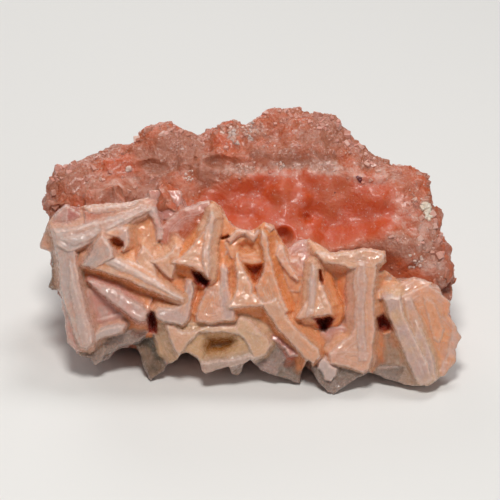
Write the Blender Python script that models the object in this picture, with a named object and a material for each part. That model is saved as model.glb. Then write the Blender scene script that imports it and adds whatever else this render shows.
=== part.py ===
"""A pink hopper halite specimen: a granular salt mound with skeletal cube crystals on its front.

The specimen is one grown piece. Its shapes are laid out in a leaning frame, which leans back by
LEAN degrees as the crystal-covered front does: across is +X, up runs up the lean, and out points
from the lean to the front. Lengths in the tables are millimetres, and angles are degrees counted
counterclockwise from across.
"""
import math
import random

import bmesh
import bpy
import numpy as np
from mathutils import Matrix, Vector, noise

MM = 0.001

LEAN = 28.0
BASE_MIDDLE = (-0.1, 4.615)

MOUND_CENTRE = (0.0, 24.0)
MOUND_OUT = 11.0
MOUND_FRONT = 6.0
MOUND_BACK = 25.0
MOUND_BREAK = 20.0
MOUND_TOP = 56.0
MOUND_SETBACK = 9.0
SETBACK_CURVE = 1.3
MOUND_CELLS = 11
# How boxy the mound is round its outline, on its front and on its back: 1 is round and less is fuller.
OUTLINE_FULLNESS = 0.9
FRONT_FULLNESS = 0.7
BACK_FULLNESS = 0.85
# The lumps all over the mound: how many to a millimetre, how high, and where their pattern starts.
MOUND_LUMPS = ((0.09, 2.4, (0.0, 0.0, 0.0)), (0.22, 1.3, (7.0, 3.0, 5.0)))
MOUND_OUTLINE = (
    (-50.5, 33.5), (-48.0, 38.0), (-46.5, 41.5), (-40.5, 43.5), (-36.0, 45.5), (-33.0, 47.0), (-27.0, 47.0),
    (-23.5, 50.5), (-19.0, 51.5), (-12.5, 49.5), (-7.0, 53.0), (-1.0, 53.0), (4.5, 54.5), (10.5, 56.0),
    (15.0, 55.5), (21.5, 53.0), (25.0, 48.5), (29.5, 46.5), (34.0, 42.0), (38.5, 42.0), (43.0, 39.5),
    (44.5, 31.0), (46.5, 25.0), (48.5, 18.5), (48.0, 13.5), (45.5, 10.5), (48.0, 3.5), (47.0, -3.0),
    (42.0, -7.0), (30.0, -6.0), (15.0, -4.0), (0.0, -3.0), (-15.0, -2.0), (-28.0, -1.5), (-38.0, -1.0),
    (-43.0, 6.0), (-46.5, 14.0), (-48.0, 22.0), (-50.0, 28.0),
)

# Each relief feature of the mound's front: across, up, half width, half height, rise (down if negative).
MOUND_RELIEF = (
    (21.0, 32.0, 11.0, 9.0, -3.0),
    (-4.0, 32.0, 8.0, 6.5, -3.0),
    (-33.0, 35.5, 8.0, 4.0, 2.2),
    (-24.0, 42.0, 4.0, 1.8, -2.0),
    (-7.0, 42.5, 5.0, 1.8, -2.0),
    (28.5, 40.0, 7.0, 2.5, 1.5),
    (-20.5, 25.5, 2.6, 3.4, -6.0),
    (8.0, 25.0, 2.6, 2.6, -4.0),
    (14.0, 29.5, 1.6, 1.6, -2.0),
    (5.0, 46.0, 12.0, 4.0, 1.8),
    (34.0, 25.0, 6.0, 5.0, 1.5),
)
RELIEF_GROWTH = 2.5

# Each hopper crystal: its nearest corner (across, up, out), the directions of its three edges from
# that corner, their lengths, the rim's width, the hollows' depth as a share of the deepest that a
# cube's faces can sink without meeting, and how square a hollow is.
HOPPERS = {
    "wing_frame": ((-46.5, 26.0, 24.0), (14, 283, 150), (25.0, 28.0, 18.0), 3.0, 0.75, 6.0),
    "upper_frame": ((-23.0, 31.5, 21.0), (192, 284, 60), (12.0, 12.0, 12.0), 1.2, 0.75, 5.0),
    "long_bar": ((-36.5, 18.8, 27.0), (70, 337, 200), (7.5, 22.5, 9.0), 1.4, 0.8, 3.0),
    "corner_frame": ((-15.8, 4.2, 25.0), (80, 168, 300), (10.0, 7.5, 9.0), 1.1, 0.8, 6.0),
    "great_star": ((-11.5, 20.6, 28.5), (79, 190, 300), (17.0, 11.0, 12.0), 0.8, 0.95, 1.7),
    "little_star": ((-18.8, 18.8, 27.0), (72, 185, 290), (9.0, 6.5, 7.0), 0.6, 0.95, 1.7),
    "left_fan": ((-10.2, 5.8, 27.0), (86, 196, 341), (10.0, 7.0, 7.0), 0.6, 0.95, 1.8),
    "thin_fan": ((-6.2, 7.4, 26.5), (91, 200, 342), (11.5, 5.0, 6.0), 0.5, 0.95, 1.8),
    "middle_star": ((-1.7, 9.4, 28.0), (93, 196, 350), (10.5, 8.0, 8.0), 0.7, 0.95, 1.8),
    "node_star": ((4.2, 17.0, 27.5), (95, 225, 320), (14.0, 9.0, 9.0), 0.8, 0.95, 1.8),
    "cup": ((0.0, 20.6, 24.5), (142, 40, 270), (6.5, 7.5, 8.0), 0.6, 0.95, 2.5),
    "arm_frame": ((3.4, 12.4, 26.5), (304, 37, 190), (20.0, 15.0, 9.0), 2.0, 0.75, 4.0),
    "right_star": ((15.4, 7.2, 28.5), (92, 196, 346), (11.5, 7.0, 7.0), 0.7, 0.95, 1.8),
    "pink_block": ((12.5, 17.0, 24.0), (88, 205, 330), (9.0, 8.0, 8.0), 2.4, 0.3, 3.0),
    "tall_frame": ((29.5, 20.0, 25.5), (177, 269, 40), (15.5, 26.0, 16.0), 2.6, 0.85, 5.0),
    "far_cube": ((33.6, 10.0, 25.5), (294, 182, 30), (21.0, 16.0, 11.5), 2.4, 0.75, 3.5),
    "yellow_cube": ((-1.2, 5.0, 24.5), (184, 281, 52), (18.5, 13.0, 12.0), 1.8, 0.95, 3.5),
    "pink_knob": ((-20.5, 33.0, 23.0), (88, 208, 330), (6.5, 6.0, 6.0), 2.0, 0.3, 3.0),
    "ledge_cube": ((-31.0, 37.5, 17.5), (20, 190, 275), (9.0, 9.0, 6.0), 2.0, 0.3, 3.0),
    "right_rim_cube": ((43.0, 26.5, 14.0), (95, 200, 330), (8.0, 8.0, 7.0), 1.4, 0.6, 3.0),
    "right_low_cube": ((44.5, 13.0, 16.0), (80, 190, 310), (8.0, 8.0, 8.0), 1.4, 0.6, 3.0),
    "left_shoulder": ((-44.0, 34.0, 14.0), (75, 195, 300), (8.0, 7.0, 8.0), 1.4, 0.5, 3.0),
}

# A hollow's rim takes at most this share of its face, and its walls go this far in to its flat floor.
RIM_MOST = 0.3
FLOOR_INSET = 0.8
# A face longer than this has a finer hollow, whose walls turn steeper at this share of their way in
# and of their depth.
LARGE_FACE = 12.4
WALL_TURN = (0.3, 0.42)

# Each plate crystal: its outline (across, up), how far out its front lies, and its thickness.
PLATES = {
    "tooth": (((-34.5, 26.5), (-29.3, 27.0), (-29.3, 22.5), (-30.2, 22.0), (-31.4, 24.5),
               (-33.5, 25.3)), 26.5, 5.0),
    "lower_bar": (((-38.3, 14.5), (-35.5, 13.8), (-31.0, 11.6), (-27.5, 9.3), (-24.8, 6.2), (-26.0, 5.2),
                   (-28.5, 7.4), (-32.0, 9.8), (-36.0, 12.4)), 25.5, 7.0),
    "second_tooth": (((-27.0, 19.6), (-25.5, 22.0), (-23.0, 19.4), (-22.5, 15.2),
                      (-26.5, 16.0)), 26.5, 5.0),
    "long_arm": (((2.8, 9.2), (3.0, 12.2), (4.5, 13.5), (7.0, 8.8), (12.0, 2.8), (16.3, -2.2), (16.3, -4.0),
                  (15.0, -4.8), (13.0, -3.2), (9.5, 2.0), (6.0, 5.2)), 27.5, 8.0),
    "left_tip": (((-50.0, 23.4), (-48.2, 27.6), (-46.0, 26.0), (-45.0, 21.5), (-48.0, 21.0)), 20.5, 5.0),
    "left_brown": (((-48.5, 13.0), (-47.5, 21.0), (-44.5, 21.0), (-44.0, 12.0), (-47.2, 12.0)), 17.0, 6.0),
    "left_peak": (((-47.3, 26.5), (-45.7, 30.5), (-43.8, 32.3), (-41.0, 30.5), (-39.5, 27.5),
                   (-42.8, 26.5)), 23.0, 6.0),
    "low_left": (((-43.8, 0.5), (-38.6, -1.8), (-33.0, -1.8), (-34.5, -3.6), (-37.0, -6.0),
                  (-40.0, -4.0)), 18.0, 5.0),
    "low_left_mid": (((-35.0, -2.5), (-31.5, 1.0), (-24.0, 2.4), (-26.2, 0.2), (-31.0, -1.5)), 19.0, 6.0),
    "dark_blade": (((-29.0, 0.5), (-24.0, 2.8), (-19.5, -4.8), (-23.0, -9.0), (-24.3, -9.3)), 17.5, 4.0),
    "low_mid": (((-24.0, 1.5), (-18.0, 0.5), (-15.5, -3.0), (-17.4, -4.4), (-20.2, -5.6)), 20.0, 5.0),
    "nub": (((-5.5, -4.5), (-0.8, -4.0), (-1.6, -6.8), (-3.0, -8.4), (-4.8, -7.4)), 19.0, 5.0),
    "low_plate": (((0.0, 1.5), (5.2, 0.5), (9.3, -3.2), (12.0, -9.0), (11.7, -10.3), (6.0, -8.2),
                   (0.0, -4.6)), 21.0, 5.0),
    "lowest": (((14.5, -5.3), (17.0, -1.5), (27.0, -1.5), (28.0, -6.0), (26.2, -8.6), (20.0, -12.6),
                (17.2, -10.8)), 24.0, 12.0),
    "right_low": (((28.5, -5.0), (47.5, 2.0), (49.5, -4.6), (45.5, -8.6), (41.0, -10.5),
                   (30.0, -8.5)), 15.5, 6.0),
}

# A plate's front is this much narrower than the plate, and widens over this share of its thickness.
PLATE_FRONT = 0.9
PLATE_SHOULDER = 0.4

CRUST_SEED = 11
CRUST_COUNT = 38
CRUST_SIZES = (2.0, 3.6)
CRUST_STRETCH = ((0.75, 1.0), (0.75, 1.2))
CRUST_SLOPES = (0.0, 0.1, 0.25, 0.5)
CRUST_SUNK = 0.35
CRUST_ARC = (-28.0, 204.0)

# Each plain cube on the mound's back and ends: its nearest corner, the directions of its edges, its size.
BACK_CUBES = (
    ((-25.0, 24.0, -6.0), (100, 215, 330), 9.0),
    ((20.0, 32.0, -6.5), (80, 200, 320), 10.0),
    ((38.0, 21.0, 1.0), (60, 185, 300), 8.0),
    ((-41.0, 24.0, 3.5), (110, 230, 350), 7.5),
    ((1.7, 30.4, -8.4), (90, 210, 330), 8.5),
    ((-12.0, 44.0, -3.4), (70, 190, 310), 7.0),
)

# The block below the cut, which takes away everything under the base.
CUT_BLOCK = (300.0, 300.0, 100.0)

HALITE_PINK = (0.62, 0.26, 0.17, 1.0)
HALITE_VIEWPORT = (0.8, 0.5, 0.4, 1.0)


def clear_scene():
    for thing in list(bpy.data.objects):
        bpy.data.objects.remove(thing, do_unlink=True)


def lean_axes():
    """The leaning frame's axes: across, up and out."""
    angle = math.radians(LEAN)
    across = Vector((1.0, 0.0, 0.0))
    up = Vector((0.0, math.sin(angle), math.cos(angle)))
    out = Vector((0.0, -math.cos(angle), math.sin(angle)))
    return across, up, out


def place(across_mm, up_mm, out_mm):
    """A point of the leaning frame, measured from the middle of the base."""
    across, up, out = lean_axes()
    return (across * across_mm + up * up_mm + out * out_mm - Vector((*BASE_MIDDLE, 0.0))) * MM


def corner_directions(angles):
    """The three square edges that leave a corner, from the directions in which they are seen to run."""
    turns = [math.radians(angle) for angle in angles]
    cosines = [math.cos(2.0 * turn) for turn in turns]
    sines = [math.sin(2.0 * turn) for turn in turns]
    rows = np.array([cosines, sines, [1.0, 1.0, 1.0]])
    shown = np.sqrt(np.clip(np.linalg.solve(rows, [0.0, 0.0, 2.0]), 0.0, 1.0))
    across, up, out = lean_axes()
    edges = []
    for turn, length in zip(turns, shown):
        back = math.sqrt(max(0.0, 1.0 - length * length))
        edge = (across * math.cos(turn) + up * math.sin(turn)) * length - out * back
        edges.append(edge.normalized())
    return square_up(edges)


def square_up(edges):
    """Makes three nearly square directions exactly square."""
    first = edges[0]
    second = (edges[1] - first * edges[1].dot(first)).normalized()
    third = first.cross(second)
    if third.dot(edges[2]) < 0.0:
        third = -third
    return first, second, third


def new_object(name, mesh_data):
    bmesh.ops.triangulate(mesh_data, faces=mesh_data.faces)
    mesh = bpy.data.meshes.new(name)
    mesh_data.to_mesh(mesh)
    mesh_data.free()
    thing = bpy.data.objects.new(name, mesh)
    bpy.context.scene.collection.objects.link(thing)
    return thing


def hollow_ring(half_a, half_b, squareness, points):
    """The points of a rounded-square ring about a face's centre, from one corner's side round."""
    ring = []
    for step in range(points):
        turn = math.pi / 4.0 + 2.0 * math.pi * step / points
        reach = (abs(math.cos(turn)) ** squareness + abs(math.sin(turn)) ** squareness) ** (-1.0 / squareness)
        ring.append((half_a * reach * math.cos(turn), half_b * reach * math.sin(turn)))
    return ring


def rim_faces(bm, corners, ring):
    """Fans from a face's four corners to the ring of points round its hollow."""
    share = len(ring) // 4
    for side, start in enumerate(corners):
        end = corners[(side + 1) % 4]
        first = side * share
        for step in range(share):
            near = ring[(first + step) % len(ring)]
            far = ring[(first + step + 1) % len(ring)]
            hub = start if step < share // 2 else end
            bm.faces.new((hub, far, near))
        middle = ring[(first + share // 2) % len(ring)]
        bm.faces.new((start, end, middle))


def wall_faces(bm, upper, lower):
    """Joins two rings that have the same number of points."""
    for step in range(len(upper)):
        after = (step + 1) % len(upper)
        bm.faces.new((upper[step], upper[after], lower[after], lower[step]))


def sunk_face(bm, corners, rim, share, squareness):
    """One hopper face: a flat rim round a hollow that goes down like a pit with sloping walls."""
    origin, end_a, _, end_b = (corner.co.copy() for corner in corners)
    side_a = end_a - origin
    side_b = end_b - origin
    length_a = side_a.length
    length_b = side_b.length
    along_a = side_a.normalized()
    along_b = side_b.normalized()
    inward = -along_a.cross(along_b)
    centre = origin + side_a * 0.5 + side_b * 0.5
    shorter = min(length_a, length_b)
    rim = min(rim * MM, RIM_MOST * shorter)
    reach = 0.5 * shorter - rim
    levels = [(rim, 0.0), (rim + FLOOR_INSET * reach, share * reach)]
    points = 8
    if shorter > LARGE_FACE * MM:
        levels.insert(1, (rim + WALL_TURN[0] * reach, WALL_TURN[1] * share * reach))
        points = 12
    rings = []
    for inset, sink in levels:
        spots = hollow_ring(0.5 * length_a - inset, 0.5 * length_b - inset, squareness, points)
        floor = centre + inward * sink
        rings.append([bm.verts.new(floor - along_a * part_a - along_b * part_b) for part_a, part_b in spots])
    rim_faces(bm, corners, rings[0])
    for upper, lower in zip(rings, rings[1:]):
        wall_faces(bm, upper, lower)
    bm.faces.new(rings[-1])


def box_corners(bm, corner, edges, lengths):
    """The eight corners of a box crystal. A corner's number has one bit for each edge it lies along."""
    grid = []
    for bits in range(8):
        point = corner.copy()
        for axis in range(3):
            if bits >> axis & 1:
                point = point + edges[axis] * lengths[axis] * MM
        grid.append(bm.verts.new(point))
    return grid


def hopper_crystal(name, corner, angles, lengths, rim, share, squareness):
    """A cube crystal whose three outer faces are sunk and whose far faces are plain."""
    edges = corner_directions(angles)
    bm = bmesh.new()
    grid = box_corners(bm, place(*corner), edges, lengths)
    for first, second in ((0, 1), (1, 2), (2, 0)):
        third = 3 - first - second
        faces_out = edges[first].cross(edges[second]).dot(edges[third]) < 0.0
        side_a = 1 << (first if faces_out else second)
        side_b = 1 << (second if faces_out else first)
        sunk_face(bm, [grid[0], grid[side_a], grid[side_a | side_b], grid[side_b]], rim, share, squareness)
        away = 1 << third
        bm.faces.new([grid[away | side_b], grid[away | side_a | side_b], grid[away | side_a], grid[away]])
    bmesh.ops.recalc_face_normals(bm, faces=bm.faces)
    return new_object(name, bm)


def plate_crystal(name, outline, out, thickness):
    """A thin broken crystal: a many-sided plate, a little narrower at its front."""
    bm = bmesh.new()
    middle = [sum(point[axis] for point in outline) / len(outline) for axis in (0, 1)]
    rings = []
    for scale, depth in ((PLATE_FRONT, 0.0), (1.0, PLATE_SHOULDER * thickness), (1.0, thickness)):
        ring = []
        for across, up in outline:
            spot_across = middle[0] + (across - middle[0]) * scale
            spot_up = middle[1] + (up - middle[1]) * scale
            ring.append(bm.verts.new(place(spot_across, spot_up, out - depth)))
        rings.append(ring)
    bm.faces.new(rings[0])
    wall_faces(bm, rings[0], rings[1])
    wall_faces(bm, rings[1], rings[2])
    bm.faces.new(rings[2])
    bmesh.ops.recalc_face_normals(bm, faces=bm.faces)
    return new_object(name, bm)


def outline_reach(turn):
    """How far the mound's outline lies from its centre in a direction, in millimetres."""
    centre_across, centre_up = MOUND_CENTRE
    turns = [math.atan2(up - centre_up, across - centre_across) for across, up in MOUND_OUTLINE]
    reaches = [math.hypot(across - centre_across, up - centre_up) for across, up in MOUND_OUTLINE]
    return float(np.interp(turn, *sorted_loop(turns, reaches)))


def sorted_loop(turns, reaches):
    """The reaches in the order of their turns, with the loop's ends repeated past a full turn."""
    order = sorted(range(len(turns)), key=lambda index: turns[index])
    turns = [turns[index] for index in order]
    reaches = [reaches[index] for index in order]
    full = 2.0 * math.pi
    return ([turns[-1] - full] + turns + [turns[0] + full], [reaches[-1]] + reaches + [reaches[0]])


def relief_height(across, up):
    """How far the hollows and ledges of the mound's front lift it at a place."""
    height = 0.0
    for middle_across, middle_up, half_width, half_height, rise in MOUND_RELIEF:
        reach = math.hypot((across - middle_across) / half_width, (up - middle_up) / half_height)
        height += rise * max(0.0, 1.0 - reach ** 4) if reach < 1.0 else 0.0
    return height


def setback(up):
    """How far the mound's upper part falls back from the lean, so that its top is a dome."""
    return MOUND_SETBACK * (max(0.0, up - MOUND_BREAK) / (MOUND_TOP - MOUND_BREAK)) ** SETBACK_CURVE


def mound_point(direction):
    """Where a direction from the middle of the mound meets its surface."""
    turn = math.atan2(direction.y, direction.x)
    spread = math.hypot(direction.x, direction.y)
    reach = outline_reach(turn) * spread ** OUTLINE_FULLNESS
    across = MOUND_CENTRE[0] + reach * math.cos(turn)
    up = MOUND_CENTRE[1] + reach * math.sin(turn)
    if direction.z >= 0.0:
        out = MOUND_OUT + MOUND_FRONT * direction.z ** FRONT_FULLNESS
        out += relief_height(across, up) * min(1.0, RELIEF_GROWTH * direction.z)
    else:
        out = MOUND_OUT - MOUND_BACK * (-direction.z) ** BACK_FULLNESS
    out -= setback(up)
    lump = 0.0
    for closeness, height, start in MOUND_LUMPS:
        lump += noise.noise(Vector((across, up, out)) * closeness + Vector(start)) * height
    return place(across + direction.x * lump, up + direction.y * lump, out + direction.z * lump)


def mound():
    """The granular mound, as a cube-shaped net of points blown out to the mound's outline."""
    bm = bmesh.new()
    bmesh.ops.create_cube(bm, size=2.0)
    bmesh.ops.subdivide_edges(bm, edges=bm.edges, cuts=MOUND_CELLS, use_grid_fill=True)
    for vert in bm.verts:
        spread = Vector([math.tan(value * math.pi / 4.0) for value in vert.co])
        vert.co = mound_point(spread.normalized())
    bmesh.ops.recalc_face_normals(bm, faces=bm.faces)
    return new_object("mound", bm)


def small_cube(name, centre, size, rng):
    """A small crust crystal, turned at random and a little longer one way."""
    bm = bmesh.new()
    bmesh.ops.create_cube(bm, size=size * MM)
    stretch = Matrix.Diagonal((1.0, rng.uniform(*CRUST_STRETCH[0]), rng.uniform(*CRUST_STRETCH[1]), 1.0))
    axis = Vector((rng.gauss(0, 1), rng.gauss(0, 1), rng.gauss(0, 1))).normalized()
    turn = Matrix.Rotation(rng.uniform(0.0, math.pi), 4, axis)
    bm.transform(Matrix.Translation(centre) @ turn @ stretch)
    return new_object(name, bm)


def crust_cubes():
    """Small cubes half sunk in the mound, most of them round its rim, where they break the outline."""
    rng = random.Random(CRUST_SEED)
    cubes = []
    for index in range(CRUST_COUNT):
        share = (index + rng.uniform(-0.3, 0.3)) / CRUST_COUNT
        turn = math.radians(CRUST_ARC[0] + (CRUST_ARC[1] - CRUST_ARC[0]) * share)
        slope = rng.choice(CRUST_SLOPES) * rng.choice((-1.0, 1.0))
        flat = math.sqrt(1.0 - slope * slope)
        size = rng.uniform(*CRUST_SIZES)
        surface = mound_point(Vector((math.cos(turn) * flat, math.sin(turn) * flat, slope)))
        middle = place(*MOUND_CENTRE, MOUND_OUT)
        centre = surface + (middle - surface).normalized() * CRUST_SUNK * size * MM
        cubes.append(small_cube(f"crust_{index:02d}", centre, size, rng))
    return cubes


def back_crystals():
    """Plain cubes that stand half out of the back and the ends of the mound."""
    cubes = []
    for index, (middle, angles, size) in enumerate(BACK_CUBES):
        edges = corner_directions(angles)
        cubes.append(turned_cube(f"back_{index}", place(*middle), edges, size))
    return cubes


def turned_cube(name, corner, edges, size):
    """A plain cube with one corner at a place and its edges in three square directions."""
    bm = bmesh.new()
    grid = box_corners(bm, corner, edges, (size, size, size))
    for axis in range(3):
        side_a = 1 << (axis + 1) % 3
        side_b = 1 << (axis + 2) % 3
        for far in (0, 1 << axis):
            bm.faces.new([grid[far], grid[far | side_a], grid[far | side_a | side_b], grid[far | side_b]])
    bmesh.ops.recalc_face_normals(bm, faces=bm.faces)
    return new_object(name, bm)


def floor_block():
    """All the space under the cut that the specimen rests on."""
    bm = bmesh.new()
    bmesh.ops.create_cube(bm, size=MM)
    lowered = Matrix.Translation((0.0, 0.0, -0.5 * CUT_BLOCK[2] * MM))
    bm.transform(lowered @ Matrix.Diagonal((*CUT_BLOCK, 1.0)))
    return new_object("floor_block", bm)


def boolean(thing, operation, others):
    """Joins the others to a solid, or cuts them from it, and removes them."""
    group = bpy.data.collections.new(operation.lower())
    for other in others:
        group.objects.link(other)
    step = thing.modifiers.new(operation.lower(), "BOOLEAN")
    step.operation = operation
    step.operand_type = "COLLECTION"
    step.collection = group
    step.solver = "EXACT"
    evaluated = thing.evaluated_get(bpy.context.evaluated_depsgraph_get())
    joined = bpy.data.meshes.new_from_object(evaluated)
    thing.modifiers.clear()
    thing.data = joined
    for other in others:
        bpy.data.objects.remove(other, do_unlink=True)
    bpy.data.collections.remove(group)


def fill_pockets(thing):
    """Makes the solid whole where crystals that grew together shut in a pocket."""
    bm = bmesh.new()
    bm.from_mesh(thing.data)
    waiting = set(bm.verts)
    shells = []
    while waiting:
        shell = grown_from(waiting.pop(), waiting)
        shells.append(shell)
    body = max(shells, key=len)
    for shell in shells:
        if shell is not body:
            bmesh.ops.delete(bm, geom=list(shell), context="VERTS")
    bm.to_mesh(thing.data)
    bm.free()


def grown_from(seed, waiting):
    """The vertices that edges join to the seed, taken out of those that wait."""
    shell = {seed}
    front = [seed]
    while front:
        vert = front.pop()
        for edge in vert.link_edges:
            other = edge.other_vert(vert)
            if other in waiting:
                waiting.discard(other)
                shell.add(other)
                front.append(other)
    return shell


def halite_material():
    material = bpy.data.materials.new("pink_halite")
    material.use_nodes = True
    shader = material.node_tree.nodes["Principled BSDF"]
    shader.inputs["Base Color"].default_value = HALITE_PINK
    shader.inputs["Roughness"].default_value = 0.38
    shader.inputs["Metallic"].default_value = 0.0
    material.diffuse_color = HALITE_VIEWPORT
    return material


def main():
    clear_scene()
    cluster = mound()
    cluster.name = "halite_cluster"
    cluster.data.name = "halite_cluster"
    cluster.data.materials.append(halite_material())
    grown = [hopper_crystal(name, *numbers) for name, numbers in HOPPERS.items()]
    grown += [plate_crystal(name, *numbers) for name, numbers in PLATES.items()]
    grown += crust_cubes()
    grown += back_crystals()
    boolean(cluster, "UNION", grown)
    boolean(cluster, "DIFFERENCE", [floor_block()])
    fill_pockets(cluster)


main()
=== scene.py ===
"""The looks of a pink hopper halite specimen: a granular salt mound with skeletal cube crystals.

Shapes are laid out in a leaning frame, which leans back by LEAN degrees as the crystal-covered front
does: across is +X, up runs up the lean, and out points from the lean to the front. Lengths are
millimetres there, and angles are degrees counted counterclockwise from across.
"""
import math

import bmesh
import bpy
import numpy as np
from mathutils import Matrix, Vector, noise


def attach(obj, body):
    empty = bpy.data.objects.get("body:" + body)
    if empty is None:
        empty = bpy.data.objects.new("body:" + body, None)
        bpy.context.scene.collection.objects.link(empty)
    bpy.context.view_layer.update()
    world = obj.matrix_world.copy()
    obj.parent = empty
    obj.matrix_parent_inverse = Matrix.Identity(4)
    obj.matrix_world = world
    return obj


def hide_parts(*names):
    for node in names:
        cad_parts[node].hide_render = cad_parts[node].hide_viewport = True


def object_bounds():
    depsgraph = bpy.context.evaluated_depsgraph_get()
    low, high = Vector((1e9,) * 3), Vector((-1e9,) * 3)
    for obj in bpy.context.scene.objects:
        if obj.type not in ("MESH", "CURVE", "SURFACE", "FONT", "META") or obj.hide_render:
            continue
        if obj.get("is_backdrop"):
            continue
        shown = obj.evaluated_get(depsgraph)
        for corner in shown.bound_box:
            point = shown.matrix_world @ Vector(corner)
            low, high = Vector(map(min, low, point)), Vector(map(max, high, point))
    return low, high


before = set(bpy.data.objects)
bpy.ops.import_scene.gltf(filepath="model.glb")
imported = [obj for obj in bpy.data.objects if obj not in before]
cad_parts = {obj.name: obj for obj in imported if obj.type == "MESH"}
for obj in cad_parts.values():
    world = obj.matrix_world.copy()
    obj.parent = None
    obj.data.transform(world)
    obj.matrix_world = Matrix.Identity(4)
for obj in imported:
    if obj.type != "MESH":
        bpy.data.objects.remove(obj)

NODE = "halite_cluster"
BODY = "root"
MM = 0.001
CAD_LOW, CAD_HIGH = (np.array(corner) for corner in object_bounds())
BOX_MARGIN = 0.00004

LEAN = 28.0
BASE_MIDDLE = (-0.1, 4.615)

# The camera looks straight along the lean's out direction, from far off, as the photograph's does.
VIEW_MIDDLE = (0.0, 21.8)
VIEW_DISTANCE = 900.0
SUBJECT_OUT = 20.0
SENSOR = 36.0
FRAME_WIDTH = 119.05
PICTURE = 500.0
CLIP_RANGE = (0.05, 20.0)

MOUND_CENTRE = (0.0, 24.0)
MOUND_OUT = 11.0
MOUND_FRONT = 6.0
MOUND_BACK = 25.0
MOUND_BREAK = 20.0
MOUND_TOP = 56.0
MOUND_SETBACK = 9.0
SETBACK_CURVE = 1.3
MOUND_CELLS = 118
OUTLINE_FULLNESS = 0.9
FRONT_FULLNESS = 0.7
BACK_FULLNESS = 0.85
MOUND_LUMPS = ((0.09, 2.4, (0.0, 0.0, 0.0)), (0.22, 1.3, (7.0, 3.0, 5.0)))
MOUND_OUTLINE = (
    (-50.5, 33.5), (-48.0, 38.0), (-46.5, 41.5), (-40.5, 43.5), (-36.0, 45.5), (-33.0, 47.0), (-27.0, 47.0),
    (-23.5, 50.5), (-19.0, 51.5), (-12.5, 49.5), (-7.0, 53.0), (-1.0, 53.0), (4.5, 54.5), (10.5, 56.0),
    (15.0, 55.5), (21.5, 53.0), (25.0, 48.5), (29.5, 46.5), (34.0, 42.0), (38.5, 42.0), (43.0, 39.5),
    (44.5, 31.0), (46.5, 25.0), (48.5, 18.5), (48.0, 13.5), (45.5, 10.5), (48.0, 3.5), (47.0, -3.0),
    (42.0, -7.0), (30.0, -6.0), (15.0, -4.0), (0.0, -3.0), (-15.0, -2.0), (-28.0, -1.5), (-38.0, -1.0),
    (-43.0, 6.0), (-46.5, 14.0), (-48.0, 22.0), (-50.0, 28.0),
)

# Each relief feature of the mound's front: across, up, half width, half height, rise (down if negative).
MOUND_RELIEF = (
    (21.0, 32.0, 13.0, 10.0, -2.6),
    (-3.0, 32.5, 12.0, 7.5, -2.0),
    (-33.0, 35.5, 8.0, 4.0, 2.2),
    (-24.0, 42.0, 4.0, 1.8, -2.0),
    (-7.0, 42.5, 5.0, 1.8, -2.0),
    (28.5, 40.0, 7.0, 2.5, 1.5),
    (-20.5, 25.5, 2.6, 3.4, -6.0),
    (8.0, 25.0, 2.6, 2.6, -4.0),
    (14.0, 29.5, 1.6, 1.6, -2.0),
    (5.0, 46.0, 12.0, 4.0, 1.8),
    (34.0, 25.0, 6.0, 5.0, 1.5),
)
RELIEF_GROWTH = 2.5
RELIEF_SLOPE = 1.5

# Soft-edged patches of the mound's front: across, up, half width, half height. The smooth ones are
# jelly-like and orange, the frosted ones whitish, and under the covered ones the mound sinks away
# behind the crystal front.
SMOOTH_PATCHES = (
    (21.0, 31.5, 19.0, 9.5),
    (-2.0, 31.5, 11.0, 7.5),
    (10.0, 38.0, 12.0, 3.5),
)
FROSTED_PATCHES = (
    (-4.0, 50.5, 3.5, 2.5),
    (0.5, 51.5, 3.5, 2.5),
    (40.0, 27.0, 7.0, 9.0),
    (42.0, 14.0, 7.0, 8.0),
    (29.0, 40.0, 7.5, 2.8),
    (-33.0, 37.0, 8.0, 4.0),
    (12.0, 41.5, 22.0, 2.0),
)
COVERED = (
    (-24.0, 10.0, 22.0, 15.0),
    (4.0, 8.0, 26.0, 13.0),
    (28.0, 8.0, 18.0, 13.0),
)
COVERED_SINK = 6.0
PATCH_EDGE = (0.7, 1.15)

# The mound's rough surface: lumps and square grains, each as how many to a millimetre and how high.
ROUGH_LUMPS = ((0.3, 0.7), (0.75, 0.3))
GRAINS = ((0.42, 0.9), (0.95, 0.5))
GRAIN_LEVEL = 0.3
ROUGH_MOST = 0.9
SMOOTH_ROUGHNESS = 0.3
FRONT_EDGE = (0.1, 0.35)
# Where cavities take the deep colour, a painted shade that is partly the deeper colour of thick salt: how low
# the relief lies before it starts, and over what run, and how low the rough surface lies before it starts,
# and how strong it is there.
CAVITY_START = 3.2
CAVITY_RUN = 3.0
PIT_START = 0.5
PIT_STRENGTH = 0.6

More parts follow.
